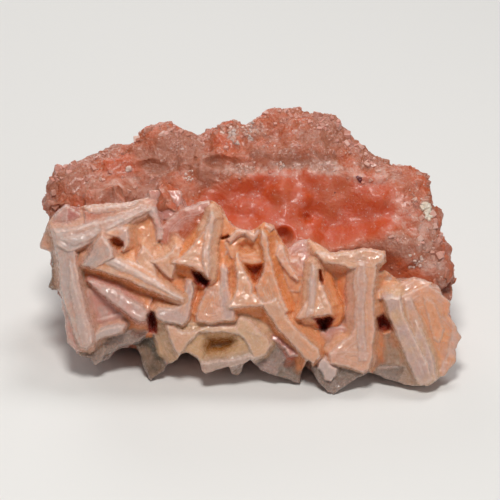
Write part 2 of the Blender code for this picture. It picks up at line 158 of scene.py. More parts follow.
# The crystal front is one relief. Each of its facets is laid out in the photograph's frame: how far out
# its middle lies, how its top tilts (out for each millimetre across and up), how steep its sides start,
# how far they fall, its top, web and hollow colours, and its outline in pixels. A facet covers the ones
# before it wherever it lies further out.
FACETS = {
    "wing_floor": (20.5, (0.05, 0.0), 3.0, 7.0, "orange orange deep", (
        (76, 250), (90, 240), (108, 234), (128, 226), (150, 214), (158, 228), (158, 245), (150, 262),
        (152, 300), (146, 315), (130, 325), (120, 330), (92, 342), (84, 320), (78, 284))),
    "trough": (22.5, (0.0, -0.6), 3.0, 5.0, "rose salmon salmon", (
        (84, 212), (90, 208), (120, 206), (146, 204), (150, 210), (130, 215), (112, 221), (85, 228))),
    "back_ridge": (22.6, (0.0, -0.2), 3.0, 5.0, "white flesh salmon", (
        (86, 210), (90, 206), (104, 208), (120, 205), (143, 201), (145, 205), (130, 208), (116, 212),
        (100, 213), (88, 213))),
    "left_tip": (20.5, (0.25, 0.0), 4.0, 8.0, "pink_white flesh tan", (
        (39, 243), (43, 232), (47, 225), (52, 230), (58, 247), (60, 256), (56, 253), (48, 252), (40, 249))),
    "left_brown": (20.6, (0.2, 0.0), 4.0, 8.0, "dusk tan tan", (
        (50, 250), (60, 256), (62, 285), (62, 298), (57, 291), (50, 291), (46, 287), (50, 277), (50, 262))),
    "left_peak_light": (22.5, (0.2, 0.0), 4.0, 7.0, "pink_white rose pink", (
        (50, 226), (56, 215), (65, 206), (68, 207), (67, 222), (63, 231), (56, 232))),
    "left_peak_dark": (22.3, (-0.25, 0.0), 4.0, 7.0, "pink pink salmon", (
        (66, 206), (75, 210), (83, 218), (86, 226), (75, 230), (64, 231), (66, 222))),
    "wing_side": (23.0, (0.2, 0.0), 4.0, 8.0, "pink_white rose tan", (
        (61, 302), (68, 304), (76, 330), (82, 347), (78, 351), (71, 346), (66, 343), (65, 333), (63, 318))),
    "wing_left": (25.0, (0.12, 0.0), 3.2, 7.0, "white flesh tan", (
        (51, 232), (60, 240), (75, 246), (76, 265), (79, 284), (84, 303), (89, 322), (93, 343), (87, 348),
        (80, 346), (74, 331), (66, 306), (61, 286), (60, 262), (56, 247))),
    "wing_top": (25.0, (0.0, -0.12), 3.0, 7.0, "white flesh apricot", (
        (54, 232), (75, 229), (95, 223), (113, 219), (130, 213), (143, 208), (149, 210), (140, 216),
        (128, 223), (120, 227), (108, 231), (98, 237), (88, 243), (78, 249), (68, 252), (58, 245))),
    "wing_step": (21.9, (0.0, 0.1), 3.0, 5.0, "pink_white rose flesh", (
        (84, 290), (100, 285), (118, 300), (130, 312), (122, 326), (96, 332), (90, 318))),
    "wing_line": (22.8, (0.0, 0.0), 3.0, 5.0, "pink_white rose apricot", (
        (83, 290), (87, 292), (93, 318), (96, 332), (91, 335), (87, 312))),
    "wing_terrace": (22.0, (0.0, 0.2), 3.0, 5.0, "pink_white rose apricot", (
        (95, 320), (110, 316), (124, 312), (121, 322), (104, 327), (94, 331))),
    "wing_bottom": (24.0, (0.0, 0.1), 4.0, 7.0, "white flesh tan", (
        (86, 340), (92, 335), (100, 331), (110, 327), (119, 325), (124, 327), (122, 331), (110, 335),
        (100, 339), (92, 344), (87, 347))),
    "upper_face": (22.3, (0.0, -0.15), 3.0, 6.0, "peach apricot orange", (
        (128, 223), (140, 215), (150, 209), (156, 214), (158, 228), (159, 240), (154, 250), (150, 262),
        (144, 250), (138, 258), (130, 262), (120, 256), (127, 247), (128, 235))),
    "upper_edge": (23.4, (0.0, 0.0), 3.0, 6.0, "white rose orange", (
        (149, 207), (154, 209), (158, 217), (160, 228), (161, 240), (157, 240), (156, 228), (153, 218),
        (148, 213))),
    "bar_web": (24.6, (0.0, -0.35), 2.5, 6.0, "peach peach orange", (
        (108, 242), (114, 250), (122, 256), (134, 261), (141, 256), (146, 252), (152, 262), (156, 276),
        (140, 268), (122, 260), (112, 257))),
    "tooth": (26.0, (0.0, -0.1), 2.6, 6.0, "pink_white peach apricot", (
        (104, 232), (118, 228), (127, 229), (128, 240), (127, 247), (123, 250), (124, 243), (119, 238),
        (111, 235))),
    "second_tooth": (25.9, (0.0, -0.15), 2.5, 6.0, "cream peach orange", (
        (143, 248), (148, 252), (153, 259), (154, 268), (158, 278), (150, 272), (142, 267), (137, 262),
        (140, 255))),
    "bar_shadow": (22.3, (0.0, -0.5), 3.0, 5.0, "apricot apricot orange", (
        (90, 270), (100, 269), (125, 279), (145, 289), (152, 300), (147, 313), (140, 306), (119, 291),
        (96, 281), (88, 280))),
    "bar_body": (27.0, (-0.03, -0.15), 3.0, 7.0, "cream apricot orange", (
        (96, 258), (112, 255), (128, 261), (140, 266), (152, 273), (162, 281), (173, 290), (185, 298),
        (183, 302), (165, 295), (145, 287), (125, 278), (105, 271), (92, 267))),
    "bar_head": (27.6, (0.2, 0.0), 3.0, 7.0, "white flesh apricot", (
        (103, 236), (107, 241), (111, 250), (113, 257), (104, 263), (95, 267), (84, 265), (90, 256),
        (96, 245))),
    "lower_bar": (25.8, (0.0, -0.2), 3.2, 7.0, "pink_white rose orange", (
        (89, 281), (96, 282), (106, 286), (119, 292), (131, 300), (141, 307), (147, 315), (145, 320),
        (140, 321), (134, 317), (124, 310), (112, 301), (100, 292))),
    "corner_floor": (21.5, (0.0, 0.0), 3.0, 5.0, "orange orange deep", (
        (150, 292), (165, 297), (183, 303), (186, 300), (184, 309), (160, 309), (150, 310))),
    "corner_frame": (26.3, (0.0, -0.1), 3.5, 7.0, "pink_white peach orange", (
        (155, 313), (159, 309), (170, 309), (179, 307), (183, 302), (186, 290), (188, 282), (191, 281),
        (193, 287), (192, 300), (189, 313), (186, 322), (183, 325), (175, 323), (163, 320), (156, 317))),
    "star_block_left": (23.3, (0.15, -0.1), 3.0, 6.0, "rose salmon orange", (
        (172, 217), (178, 212), (186, 209), (196, 207), (201, 203), (209, 202), (212, 213), (208, 226),
        (202, 235), (194, 245), (186, 254), (176, 258), (166, 250), (160, 243), (162, 228))),
    "star_block_right": (23.3, (-0.15, -0.1), 3.0, 6.0, "apricot orange orange", (
        (209, 202), (214, 204), (221, 211), (229, 221), (237, 231), (232, 236), (226, 242), (228, 250),
        (224, 262), (215, 272), (210, 280), (206, 270), (208, 250), (211, 225))),
    "little_back": (23.5, (0.0, -0.2), 3.0, 5.0, "peach apricot orange", (
        (153, 252), (160, 247), (170, 246), (180, 246), (182, 255), (176, 262), (160, 262), (152, 260))),
    "star_hollow": (21.0, (-0.08, 0.0), 3.0, 5.0, "orange orange deep", (
        (153, 266), (165, 268), (175, 264), (190, 266), (205, 275), (210, 282), (204, 296), (198, 306),
        (193, 316), (189, 300), (184, 298), (172, 290), (160, 280))),
    "great_star": (27.4, (0.03, -0.25), 3.2, 4.5, "cream orange orange", (
        (212, 212), (214, 219), (210, 233), (208, 248), (209, 262), (208, 277), (202, 271), (194, 267),
        (184, 264), (173, 262), (182, 257), (190, 250), (197, 241), (204, 232), (209, 224))),
    "little_star": (26.6, (0.0, -0.1), 3.0, 7.0, "cream peach apricot", (
        (176, 246), (180, 248), (179, 256), (176, 264), (173, 272), (171, 278), (167, 276), (162, 270),
        (157, 265), (151, 262), (158, 260), (166, 257), (172, 252))),
    "fan_back": (23.2, (0.0, -0.1), 3.0, 5.0, "apricot apricot orange", (
        (208, 280), (215, 270), (222, 262), (232, 256), (238, 262), (238, 280), (236, 296), (230, 306),
        (222, 310), (205, 300))),
    "left_fan": (26.2, (0.1, -0.15), 3.0, 6.0, "flesh apricot orange", (
        (209, 285), (213, 282), (219, 283), (221, 295), (223, 308), (225, 320), (210, 323), (197, 321),
        (196, 315), (201, 304), (205, 295))),
    "thin_fan": (26.4, (0.0, -0.1), 3.0, 6.0, "pink_white apricot orange", (
        (221, 268), (224, 265), (227, 268), (227, 282), (229, 295), (233, 308), (234, 319), (222, 321),
        (221, 305), (221, 290), (221, 278))),
    "cup_body": (23.6, (0.0, -0.2), 3.0, 6.0, "apricot apricot orange", (
        (226, 244), (236, 232), (245, 230), (253, 236), (258, 230), (265, 226), (272, 229), (277, 238),
        (279, 248), (274, 258), (268, 262), (250, 262), (238, 262), (230, 256))),
    "cup_lip": (24.8, (0.0, 0.0), 3.0, 5.0, "flesh apricot orange", (
        (228, 240), (236, 231), (245, 229), (254, 235), (259, 229), (266, 225), (273, 229), (270, 232),
        (264, 230), (258, 235), (253, 241), (244, 234), (237, 236), (231, 243))),
    "middle_web": (24.8, (0.0, -0.1), 2.6, 6.0, "peach orange orange", (
        (240, 256), (262, 262), (262, 275), (256, 284), (262, 292), (266, 305), (228, 308), (236, 290),
        (238, 270))),
    "middle_star": (27.0, (0.0, -0.22), 2.6, 5.0, "cream apricot orange", (
        (237, 254), (240, 262), (243, 272), (248, 281), (252, 286), (251, 294), (257, 300), (264, 305),
        (246, 306), (229, 308), (234, 299), (237, 290), (238, 278), (236, 266))),
    "arm_web": (23.5, (0.0, 0.0), 2.6, 6.0, "apricot apricot orange", (
        (270, 262), (281, 254), (290, 272), (296, 279), (306, 268), (311, 276), (308, 292), (302, 308),
        (297, 318), (290, 322), (283, 316), (277, 300), (273, 285))),
    "arm_pink": (24.0, (0.0, 0.0), 2.0, 5.0, "rose apricot orange", (
        (286, 262), (298, 260), (304, 272), (300, 292), (290, 292), (284, 275))),
    "small_ridge": (25.2, (0.0, -0.1), 3.0, 6.0, "flesh apricot orange", (
        (279, 247), (283, 248), (287, 260), (293, 272), (297, 281), (290, 276), (284, 268), (279, 262),
        (276, 256))),
    "pink_block": (23.2, (0.0, -0.25), 3.0, 6.0, "rose rose salmon", (
        (287, 252), (291, 246), (304, 240), (313, 243), (320, 247), (324, 254), (319, 262), (312, 263),
        (308, 270), (302, 277), (295, 276), (291, 266))),
    "node": (27.0, (0.05, -0.05), 2.6, 5.0, "cream orange orange", (
        (262, 232), (267, 238), (269, 254), (272, 268), (276, 284), (281, 299), (286, 311), (278, 319),
        (270, 313), (264, 304), (258, 297), (256, 288), (260, 280), (264, 271), (266, 262), (264, 250),
        (261, 242))),
    "under_arm": (22.3, (0.0, -0.4), 3.0, 5.0, "rose pink deep", (
        (228, 309), (262, 306), (270, 316), (280, 328), (290, 341), (300, 355), (290, 356), (285, 349),
        (275, 342), (268, 338), (260, 332), (250, 322), (240, 318), (230, 318))),
    "long_arm": (27.5, (0.0, 0.05), 3.5, 7.0, "cream apricot orange", (
        (262, 304), (276, 299), (282, 311), (288, 320), (294, 328), (303, 336), (310, 343), (318, 350),
        (319, 357), (313, 363), (307, 362), (302, 355), (295, 346), (287, 338), (279, 329), (270, 316))),
    "right_star": (26.7, (0.08, -0.22), 3.0, 5.0, "cream apricot orange", (
        (312, 264), (317, 269), (320, 281), (324, 293), (330, 307), (331, 314), (314, 316), (298, 318),
        (303, 308), (307, 297), (310, 284), (311, 273))),
    "right_star_side": (24.5, (-0.2, 0.0), 3.0, 6.0, "rose rose orange", (
        (314, 262), (320, 270), (322, 283), (330, 292), (334, 303), (332, 315), (326, 300), (320, 284))),
    "under_star": (22.6, (0.0, 0.1), 3.0, 6.0, "rose pink deep", (
        (290, 320), (312, 319), (318, 326), (323, 336), (322, 344), (318, 350), (312, 342), (304, 332),
        (296, 326))),
    "yellow_body": (24.2, (0.0, 0.0), 4.0, 8.0, "yellow yellow brown", (
        (168, 326), (178, 323), (190, 323), (200, 321), (215, 320), (232, 318), (243, 317), (252, 323),
        (261, 332), (269, 340), (271, 347), (265, 356), (255, 361), (246, 362), (230, 367), (215, 372),
        (205, 375), (201, 371), (200, 362), (196, 356), (189, 353), (181, 354), (176, 350), (171, 338))),
    "yellow_wing": (25.6, (0.0, 0.0), 2.0, 7.0, "cream straw yellow", (
        (167, 326), (174, 328), (182, 333), (190, 333), (199, 331), (192, 339), (184, 348), (180, 354),
        (175, 349), (171, 338))),
    "yellow_rim": (25.4, (0.0, -0.1), 2.0, 6.0, "straw straw yellow", (
        (196, 332), (207, 327), (220, 326), (238, 327), (246, 320), (252, 326), (262, 336), (256, 336),
        (246, 332), (238, 333), (222, 331), (208, 332))),
    "yellow_lobe": (25.2, (-0.1, 0.0), 2.5, 6.0, "straw straw yellow", (
        (240, 318), (250, 321), (258, 330), (268, 339), (270, 346), (264, 355), (254, 359), (250, 350),
        (244, 338), (236, 330))),
    "yellow_foot": (24.9, (0.0, 0.1), 2.5, 6.0, "dusk dusk smoky", (
        (201, 363), (215, 361), (235, 359), (250, 356), (256, 359), (246, 362), (230, 367), (215, 372),
        (205, 375), (201, 371))),
    "star_spine": (27.8, (0.03, -0.25), 1.8, 3.0, "pink_white cream peach", (
        (212, 213), (214, 219), (211, 236), (208, 250), (209, 263), (207, 276), (203, 262), (203, 248),
        (206, 232))),
    "bar_line": (27.6, (-0.03, -0.15), 1.6, 2.0, "white cream cream", (
        (104, 257), (120, 262), (140, 273), (160, 284), (182, 299), (165, 291), (145, 281), (125, 271),
        (106, 263))),
    "wing_left_line": (25.7, (0.12, 0.0), 1.5, 2.0, "white pink_white flesh", (
        (70, 262), (72, 270), (76, 290), (82, 310), (87, 330), (89, 343), (83, 344), (79, 330), (75, 310),
        (70, 288))),
    "wing_top_line": (25.6, (0.0, -0.12), 1.5, 2.0, "white pink_white flesh", (
        (62, 240), (80, 236), (100, 229), (120, 222), (142, 212), (128, 220), (112, 228), (92, 238),
        (74, 246))),
    "right_star_line": (27.6, (0.08, -0.1), 1.6, 2.5, "pink_white cream peach", (
        (312, 266), (315, 271), (314, 290), (313, 314), (307, 316), (309, 300), (310, 284))),
    "low_plate_light": (21.8, (0.0, 0.0), 4.0, 8.0, "pink_white dusk smoky", (
        (250, 361), (258, 352), (268, 343), (278, 344), (285, 350), (290, 356), (284, 362), (279, 368),
        (276, 377), (262, 371))),
    "low_plate_dark": (20.8, (-0.1, 0.1), 4.0, 8.0, "dusk smoky brown", (
        (275, 377), (279, 367), (286, 358), (292, 352), (303, 357), (307, 362), (303, 374), (299, 386),
        (288, 381))),
    "nub": (19.4, (0.0, 0.0), 4.0, 8.0, "tan tan brown", (
        (228, 364), (244, 362), (243, 371), (238, 377), (233, 375))),
    "low_left": (20.8, (0.0, 0.1), 4.0, 8.0, "dusk tan tan", (
        (75, 350), (84, 347), (92, 346), (104, 342), (105, 353), (101, 362), (95, 367), (91, 365),
        (88, 359), (80, 357))),
    "low_left_mid": (20.6, (0.0, 0.15), 4.0, 8.0, "dusk dusk tan", (
        (103, 343), (120, 333), (135, 328), (149, 331), (143, 339), (130, 345), (118, 349), (108, 355),
        (104, 352))),
    # Painted shade: the dark recess under the mass.
    "low_dark": (18.0, (0.0, 0.0), 4.0, 6.0, "brown brown blood", (
        (121, 330), (130, 316), (146, 321), (150, 331), (135, 330), (120, 334))),
    # Painted shade: the blade's dark colours stand for the shade it lies in, behind and below.
    "dark_blade": (18.7, (0.15, 0.0), 4.0, 8.0, "tan murk murk", (
        (134, 348), (143, 338), (151, 332), (158, 340), (164, 352), (166, 371), (153, 380), (150, 383),
        (142, 366))),
    "low_mid": (20.3, (0.1, 0.1), 4.0, 8.0, "pink_white dusk tan", (
        (150, 331), (158, 336), (166, 345), (176, 352), (181, 356), (178, 361), (172, 364), (166, 366),
        (161, 356), (156, 344))),
    "tall_floor": (20.5, (0.0, 0.0), 3.0, 6.0, "salmon salmon orange", (
        (320, 262), (340, 262), (356, 270), (357, 300), (356, 325), (344, 330), (330, 325), (326, 300),
        (322, 280))),
    "tall_top": (25.8, (0.0, -0.15), 2.2, 7.0, "cream peach apricot", (
        (316, 254), (335, 255), (352, 254), (362, 250), (378, 252), (384, 256), (382, 261), (377, 264),
        (372, 268), (362, 267), (350, 268), (338, 264), (324, 262))),
    "tall_right": (26.0, (-0.02, 0.0), 2.4, 7.0, "flesh peach orange", (
        (356, 262), (368, 262), (376, 264), (375, 276), (372, 290), (373, 310), (374, 328), (372, 345),
        (371, 357), (368, 368), (362, 371), (352, 368), (342, 365), (332, 363), (330, 354), (340, 345),
        (350, 338), (355, 325), (355, 305), (354, 285))),
    "tall_stripe": (26.5, (0.0, 0.0), 1.5, 4.0, "pink_white flesh flesh", (
        (358, 264), (364, 264), (365, 280), (364, 300), (363, 320), (364, 340), (366, 360), (360, 360),
        (358, 340), (357, 320), (357, 300), (357, 280))),
    "tall_low": (23.2, (0.0, 0.0), 3.0, 6.0, "rose rose pink", (
        (320, 333), (332, 326), (344, 326), (352, 334), (350, 343), (342, 350), (334, 357), (326, 360),
        (320, 352))),
    "tall_foot": (26.0, (0.0, 0.1), 3.0, 6.0, "flesh flesh smoky", (
        (331, 354), (345, 350), (358, 352), (368, 352), (368, 366), (362, 371), (350, 367), (338, 364))),
    "lowest": (24.0, (0.0, 0.0), 5.0, 9.0, "dusk smoky tan", (
        (312, 369), (318, 366), (330, 363), (345, 366), (358, 370), (369, 372), (361, 379), (347, 386),
        (340, 392), (334, 396), (328, 394), (321, 387), (315, 378))),
    "white_chip": (25.2, (0.0, 0.0), 4.0, 6.0, "white pink_white smoky", (
        (318, 361), (325, 359), (330, 366), (336, 369), (335, 376), (331, 381), (326, 380), (323, 373),
        (319, 369))),
    "far_left_top": (21.5, (0.6, 0.0), 3.0, 6.0, "salmon orange deep", (
        (371, 296), (384, 299), (396, 330), (384, 335), (372, 330))),
    "far_left_low": (21.8, (0.35, 0.0), 4.0, 7.0, "tan tan deep", (
        (372, 332), (396, 330), (404, 348), (412, 364), (421, 386), (400, 384), (385, 380), (369, 375),
        (371, 360))),
    "far_left_foot": (22.3, (0.12, 0.1), 4.0, 7.0, "dusk smoky tan", (
        (369, 369), (390, 367), (412, 364), (421, 386), (400, 384), (385, 380), (369, 375))),
    "far_top": (23.2, (0.0, -0.3), 3.0, 6.0, "flesh apricot pink", (
        (373, 292), (386, 288), (400, 285), (415, 279), (431, 283), (428, 292), (410, 296), (398, 299),
        (385, 300), (376, 300))),
    # Its colours are made darker as painted shade, for the light falling off at the right.
    "far_right": (22.6, (-0.2, 0.0), 4.0, 8.0, "flesh apricot straw", (
        (398, 298), (410, 292), (428, 285), (443, 296), (453, 304), (450, 315), (457, 326), (459, 331),
        (464, 338), (458, 346), (457, 362), (451, 370), (445, 377), (437, 381), (431, 386), (427, 366),
        (414, 342), (405, 325))),
    "far_pink": (21.6, (-0.1, -0.1), 3.0, 6.0, "rose rose pink", (
        (428, 284), (440, 288), (451, 300), (451, 314), (440, 312), (432, 300))),
    "far_streak": (23.1, (-0.2, 0.0), 1.2, 3.0, "apricot peach straw", (
        (424, 296), (432, 300), (440, 314), (444, 330), (440, 344), (434, 340), (428, 318))),
    "far_band": (23.9, (-0.2, 0.0), 1.6, 3.0, "pink_white cream straw", (
        (404, 300), (410, 298), (418, 316), (424, 330), (432, 352), (438, 376), (434, 380), (428, 362),
        (420, 344), (410, 322))),
    "far_rim": (22.2, (-0.2, 0.0), 1.6, 3.0, "pink_white cream straw", (
        (452, 318), (457, 326), (459, 331), (464, 338), (458, 346), (457, 362), (451, 370), (445, 377),
        (437, 381), (432, 384), (440, 370), (448, 352), (452, 338))),
    "far_ridge_two": (25.0, (0.0, 0.0), 2.5, 6.0, "pink_white straw straw", (
        (416, 322), (422, 332), (428, 346), (433, 362), (436, 380), (430, 384), (426, 368), (421, 352),
        (416, 338))),
    "far_ridge": (26.0, (0.1, 0.0), 3.0, 7.0, "pink_white straw orange", (
        (384, 299), (391, 297), (399, 299), (402, 311), (407, 325), (413, 338), (420, 351), (427, 365),
        (431, 380), (423, 387), (416, 378), (409, 362), (402, 347), (396, 332), (390, 316))),
    "pink_lump": (20.5, (0.1, -0.2), 2.2, 6.0, "rose pink pink", (
        (148, 187), (160, 184), (171, 187), (180, 191), (182, 201), (178, 207), (172, 217), (163, 219),
        (155, 214), (150, 201))),
    "lump_face": (20.9, (-0.3, 0.0), 2.5, 5.0, "rose rose pink", (
        (148, 187), (160, 185), (163, 200), (163, 218), (155, 213), (150, 200))),
    "white_blob": (20.8, (0.0, 0.0), 4.0, 5.0, "white pink_white rose", (
        (379, 276), (386, 272), (392, 279), (391, 286), (385, 289), (379, 285))),
}

# The facets of clearer, smoky salt, along the shaded bottom. Their greyer, darker colours are partly the
# salt's own and partly painted shade of the underside.
CLEAR_FACETS = ("low_plate_light", "low_plate_dark", "nub", "low_left", "low_left_mid", "dark_blade",
                "low_mid", "lowest", "far_left_foot", "left_brown")

# Holes that go down through the relief: how far out the bottom lies, how wide the sloping sides are, the
# colour inside, which in the dark ones is painted shade, and the outline in pixels.
HOLES = {
    "left_hole": (18.0, 1.6, "blood", (
        (145, 316), (150, 310), (157, 311), (159, 320), (157, 334), (148, 333))),
    "star_hole": (19.0, 2.0, "blood", (
        (188, 266), (203, 271), (212, 281), (208, 290), (196, 284))),
    "node_hole": (21.0, 1.6, "deep", (
        (241, 261), (252, 263), (266, 263), (263, 277), (257, 284), (253, 284), (246, 274))),
    "slot": (20.5, 0.7, "deep", (
        (219, 238), (228, 234), (231, 238), (222, 242))),
    "cup_pocket": (21.3, 1.4, "apricot", (
        (236, 243), (246, 237), (255, 241), (257, 251), (246, 255), (238, 251))),
    "tooth_pocket": (21.5, 1.2, "orange", (
        (108, 238), (116, 236), (124, 241), (125, 248), (117, 251), (110, 247))),
    "yellow_hollow": (20.0, 3.6, "hollow_shade_amber", (
        (197, 348), (203, 331), (234, 331), (243, 340), (237, 353), (224, 360), (202, 362))),
    "under_star_hole": (19.0, 1.6, "blood", (
        (311, 318), (331, 315), (335, 319), (326, 335), (320, 331), (316, 323))),
    "tall_slit": (21.5, 0.7, "deep", (
        (318, 268), (322, 270), (325, 284), (321, 287), (318, 279))),
    "far_hole": (18.0, 2.0, "blood", (
        (375, 316), (384, 313), (393, 321), (395, 332), (386, 335), (375, 332))),
}

# The relief ends at this outline, in pixels, which is the specimen's own left, lower and right edge.
RELIEF_EDGE = (
    (39, 243), (39, 249), (48, 252), (50, 262), (50, 278), (46, 287), (51, 291), (57, 291), (61, 299),
    (60, 304), (64, 320), (64, 327), (66, 335), (66, 343), (69, 345), (75, 350), (75, 354), (82, 358),
    (88, 359), (92, 365), (95, 367), (101, 363), (105, 357), (112, 352), (120, 348), (130, 345), (136, 347),
    (141, 365), (148, 380), (150, 382), (153, 379), (165, 372), (166, 365), (172, 364), (178, 360),
    (181, 354), (187, 353), (195, 358), (200, 364), (201, 370), (205, 374), (217, 371), (228, 367),
    (232, 374), (237, 377), (242, 372), (243, 365), (250, 361), (262, 371), (275, 376), (289, 381),
    (299, 385), (301, 380), (307, 361), (310, 362), (313, 370), (315, 377), (322, 387), (328, 393),
    (334, 395), (340, 391), (347, 385), (360, 378), (368, 373), (385, 379), (400, 383), (422, 387),
    (431, 386), (440, 378), (445, 377), (451, 369), (457, 362), (457, 350), (459, 345), (463, 337),
    (458, 330), (457, 325), (450, 315), (452, 305), (450, 300), (444, 296), (440, 286), (430, 281),
    (415, 276), (402, 281), (394, 275), (386, 270), (379, 272), (387, 262), (386, 250), (363, 247),
    (350, 250), (330, 251), (318, 243), (310, 238), (298, 240), (288, 248), (281, 238), (274, 225),
    (264, 222), (250, 231), (240, 228), (232, 226), (222, 206), (210, 198), (198, 201), (182, 207),
    (182, 192), (176, 185), (162, 182), (148, 183), (146, 198), (120, 202), (92, 203), (78, 206), (66, 203),
    (56, 209), (47, 222), (43, 231),
)
RELIEF_OUT = 24.0
RELIEF_BASE = 14.5
RELIEF_CLEARANCE = 0.6
RELIEF_SPAN = ((-51.0, 51.0), (-13.5, 36.0))
RELIEF_CELL = 0.22
# How widely heights and colours go over from one facet to the next, and how far a facet's slopes reach.
RELIEF_BLEND = 0.24
COLOUR_BLEND = 0.8
RELIEF_REACH = 7.0
FAR_DROP = 2.0
# How far from an edge the rounding starts, and how much it lowers the rim and the facets' tops.
RIM_ROUNDING = (0.8, 0.7)
TOP_ROUNDING = (0.4, 0.28)
# Slopes on a facet's underside are gentler by this share, and all slopes are scaled.
UNDERSIDE = 0.6
STEEPER = 0.95
# Half the width of the painted highlight line that runs along each facet's edge.
EDGE_HIGHLIGHT_WIDTH = 0.38
# Sideways wobble of the facets and the height of their skin: how many to a millimetre, size, start.
RELIEF_SEED = 3
RELIEF_WOBBLE = ((0.3, 0.3), (1.2, 0.16), (3.0, 0.07))
RELIEF_SKIN = ((0.6, 0.22, (1.0, 2.0, 3.0)), (2.2, 0.08, (4.0, 2.0, 3.0)))
# Growth lines: how far apart, how high on the sides and on the tops, and how they waver.
GROWTH_STEP = 0.85
GROWTH_HEIGHTS = (0.34, 0.12)
GROWTH_WAVER = (0.25, 0.5, (9.0, 2.0, 3.0))
LINE_DROP = 0.4
# A place that lies lower than its neighbourhood, this far round and this much lower, shows the hollow
# colours: painted shade in the hollows, partly the deeper colour of thick salt.
SHADE_HOLLOW_ROUND = 2.6
SHADE_HOLLOW_FALL = 3.6
SHADE_HOLLOW_BOOST = 0.25

# The walls behind the relief's rim: how many rows, how far out the last one lies, how much it has
# narrowed towards a middle, how often each row is evened along the rim, and how soon lumps and the
# crust's colours take over.
WALL_ROWS = 11
WALL_END = 5.0
WALL_NARROWING = 0.3
WALL_CURVE = 1.4
WALL_MIDDLE = (0.0, 16.0)
WALL_EVENING = 40
RIM_EVENING = 3
WALL_SEED = 8
WALL_LUMPS = ((0.14, 1.3), (0.35, 0.8), (1.0, 0.35))
WALL_LUMPS_FROM = 4.0
WALL_CRUST = 0.16
WALL_TINTS = (("ridge_tint", "rose"), ("web_tint", "pink"), ("floor_tint", "salmon"))
CLEAR_ROWS = 2

# Each cube on the mound's edge: its nearest corner (across, up, out), the directions of its three edges
# from that corner, their lengths, the rim's width, the hollows' depth as a share of the deepest that a
# cube's faces can sink without meeting, and its number, which seeds its noise.
EDGE_CUBES = (
    ((-44.0, 34.0, 14.0), (75, 195, 300), (8.0, 7.0, 8.0), 1.4, 0.5, 21),
    ((-31.0, 37.5, 17.5), (20, 190, 275), (9.0, 9.0, 6.0), 2.0, 0.3, 18),
    ((-20.5, 33.0, 23.0), (88, 208, 330), (6.5, 6.0, 6.0), 2.0, 0.3, 17),
    ((43.0, 26.5, 14.0), (95, 200, 330), (8.0, 8.0, 7.0), 1.4, 0.6, 19),
    ((44.5, 13.0, 16.0), (80, 190, 310), (8.0, 8.0, 8.0), 1.4, 0.6, 20),
)
# Each plain cube on the mound's back and ends: its nearest corner, the directions of its edges, its size.
BACK_CUBES = (
    ((-25.0, 24.0, -6.0), (100, 215, 330), 9.0),
    ((20.0, 32.0, -6.5), (80, 200, 320), 10.0),
    ((38.0, 21.0, 1.0), (60, 185, 300), 8.0),
    ((-41.0, 24.0, 3.5), (110, 230, 350), 7.5),
    ((1.7, 30.4, -8.4), (90, 210, 330), 8.5),
    ((-12.0, 44.0, -3.4), (70, 190, 310), 7.0),
)
BACK_RIM = 1.2
BACK_SHARE = 0.2
EDGE_SEED = 5
BACK_SEED = 60
CUBE_LUMPS = ((0.28, 1.3), (0.8, 0.5), (2.0, 0.16))
CUBE_CELL = 0.42
CUBE_CELLS = (14, 46)
CROWDING = 0.45
ROUNDING = 0.35
ROUNDING_RANGE = (0.16, 0.9)
RIM_MOST = 0.3
SQUARENESS = 3.0
SINK_LIMIT = 0.93
HOLLOW_CURVE = 1.55
TERRACE = (0.7, 1.3)
TERRACE_STRENGTH = 0.55
WOBBLE = ((0.22, 0.28), (1.1, 0.09))
FAR_SHARE = 0.22

# Lumps on the mound: colour, across, up, how far they spread, size and how many.
LUMPS = (
    ("lump", 42.2, 31.8, 0.9, 1.1, 7),
    ("lump", 43.0, 30.0, 0.6, 0.9, 6),
    ("speck", 26.2, 39.0, 0.45, 0.5, 4),
    ("speck", 20.2, 35.6, 0.1, 0.22, 1),
    ("white", -4.4, 50.0, 0.9, 0.6, 16),
    ("white", -3.6, 48.2, 0.8, 0.5, 9),
    ("white", -0.6, 51.4, 1.4, 0.45, 12),
    ("white", -0.2, 48.9, 0.6, 0.5, 7),
    ("frost", 32.6, 15.2, 1.1, 0.8, 12),
    ("frost", 39.6, 19.0, 1.8, 0.5, 14),
    ("frost", -29.6, 41.2, 0.3, 0.7, 3),
    ("frost", 7.8, 42.4, 1.2, 0.3, 12),
    ("frost", -14.4, 39.6, 1.4, 0.4, 12),
)
LUMP_SEED = 31
LUMP_SUNK = 0.45
LUMP_BOXINESS = 0.6
LUMP_SKIN = ((0.9, 0.4), (2.4, 0.2))

CRUST_SEED = 23
CRUST_COUNT = 2600
CRUST_SIZES = (0.4, 1.35)
CRUST_FEW_LARGE = 2.2
CRUST_BEVEL = 0.09
CRUST_STRETCH = (0.6, 1.25)
CRUST_SUNK = (0.2, 0.5)
CRUST_HINDMOST = -22.0
# How likely a crust cube is: anywhere, and more so on the rim, on frost and in clumps, but less on
# smooth parts.
CRUST_ANYWHERE = 0.2
CRUST_ON_RIM = 0.9
CRUST_ON_FROST = 0.9
CRUST_IN_CLUMPS = 1.0
SMOOTH_BARE = 0.9

FLOOR_HALF = 4.0
FLOOR_DROP = 0.0001
LIGHT_AIM = (0.0, 0.0, 0.02)
LIGHTS = (
    ("key", (-0.02, -0.30, 0.62), 0.16, 2.9, (1.0, 0.98, 0.95)),
    ("top", (0.12, 0.22, 0.55), 0.22, 1.0, (1.0, 1.0, 1.0)),
    ("fill", (0.45, -0.55, 0.30), 0.50, 0.45, (0.97, 0.98, 1.0)),
    ("back", (-0.20, 0.60, 0.32), 0.40, 1.0, (1.0, 0.98, 0.96)),
)
WORLD_COLOUR = (0.82, 0.84, 0.86, 1.0)
WORLD_STRENGTH = 0.16

# Salt bends light as halite does, and the light that comes out of it is redder the further it has gone.
SALT = {"IOR": 1.544, "Subsurface Radius": (1.0, 0.68, 0.5)}

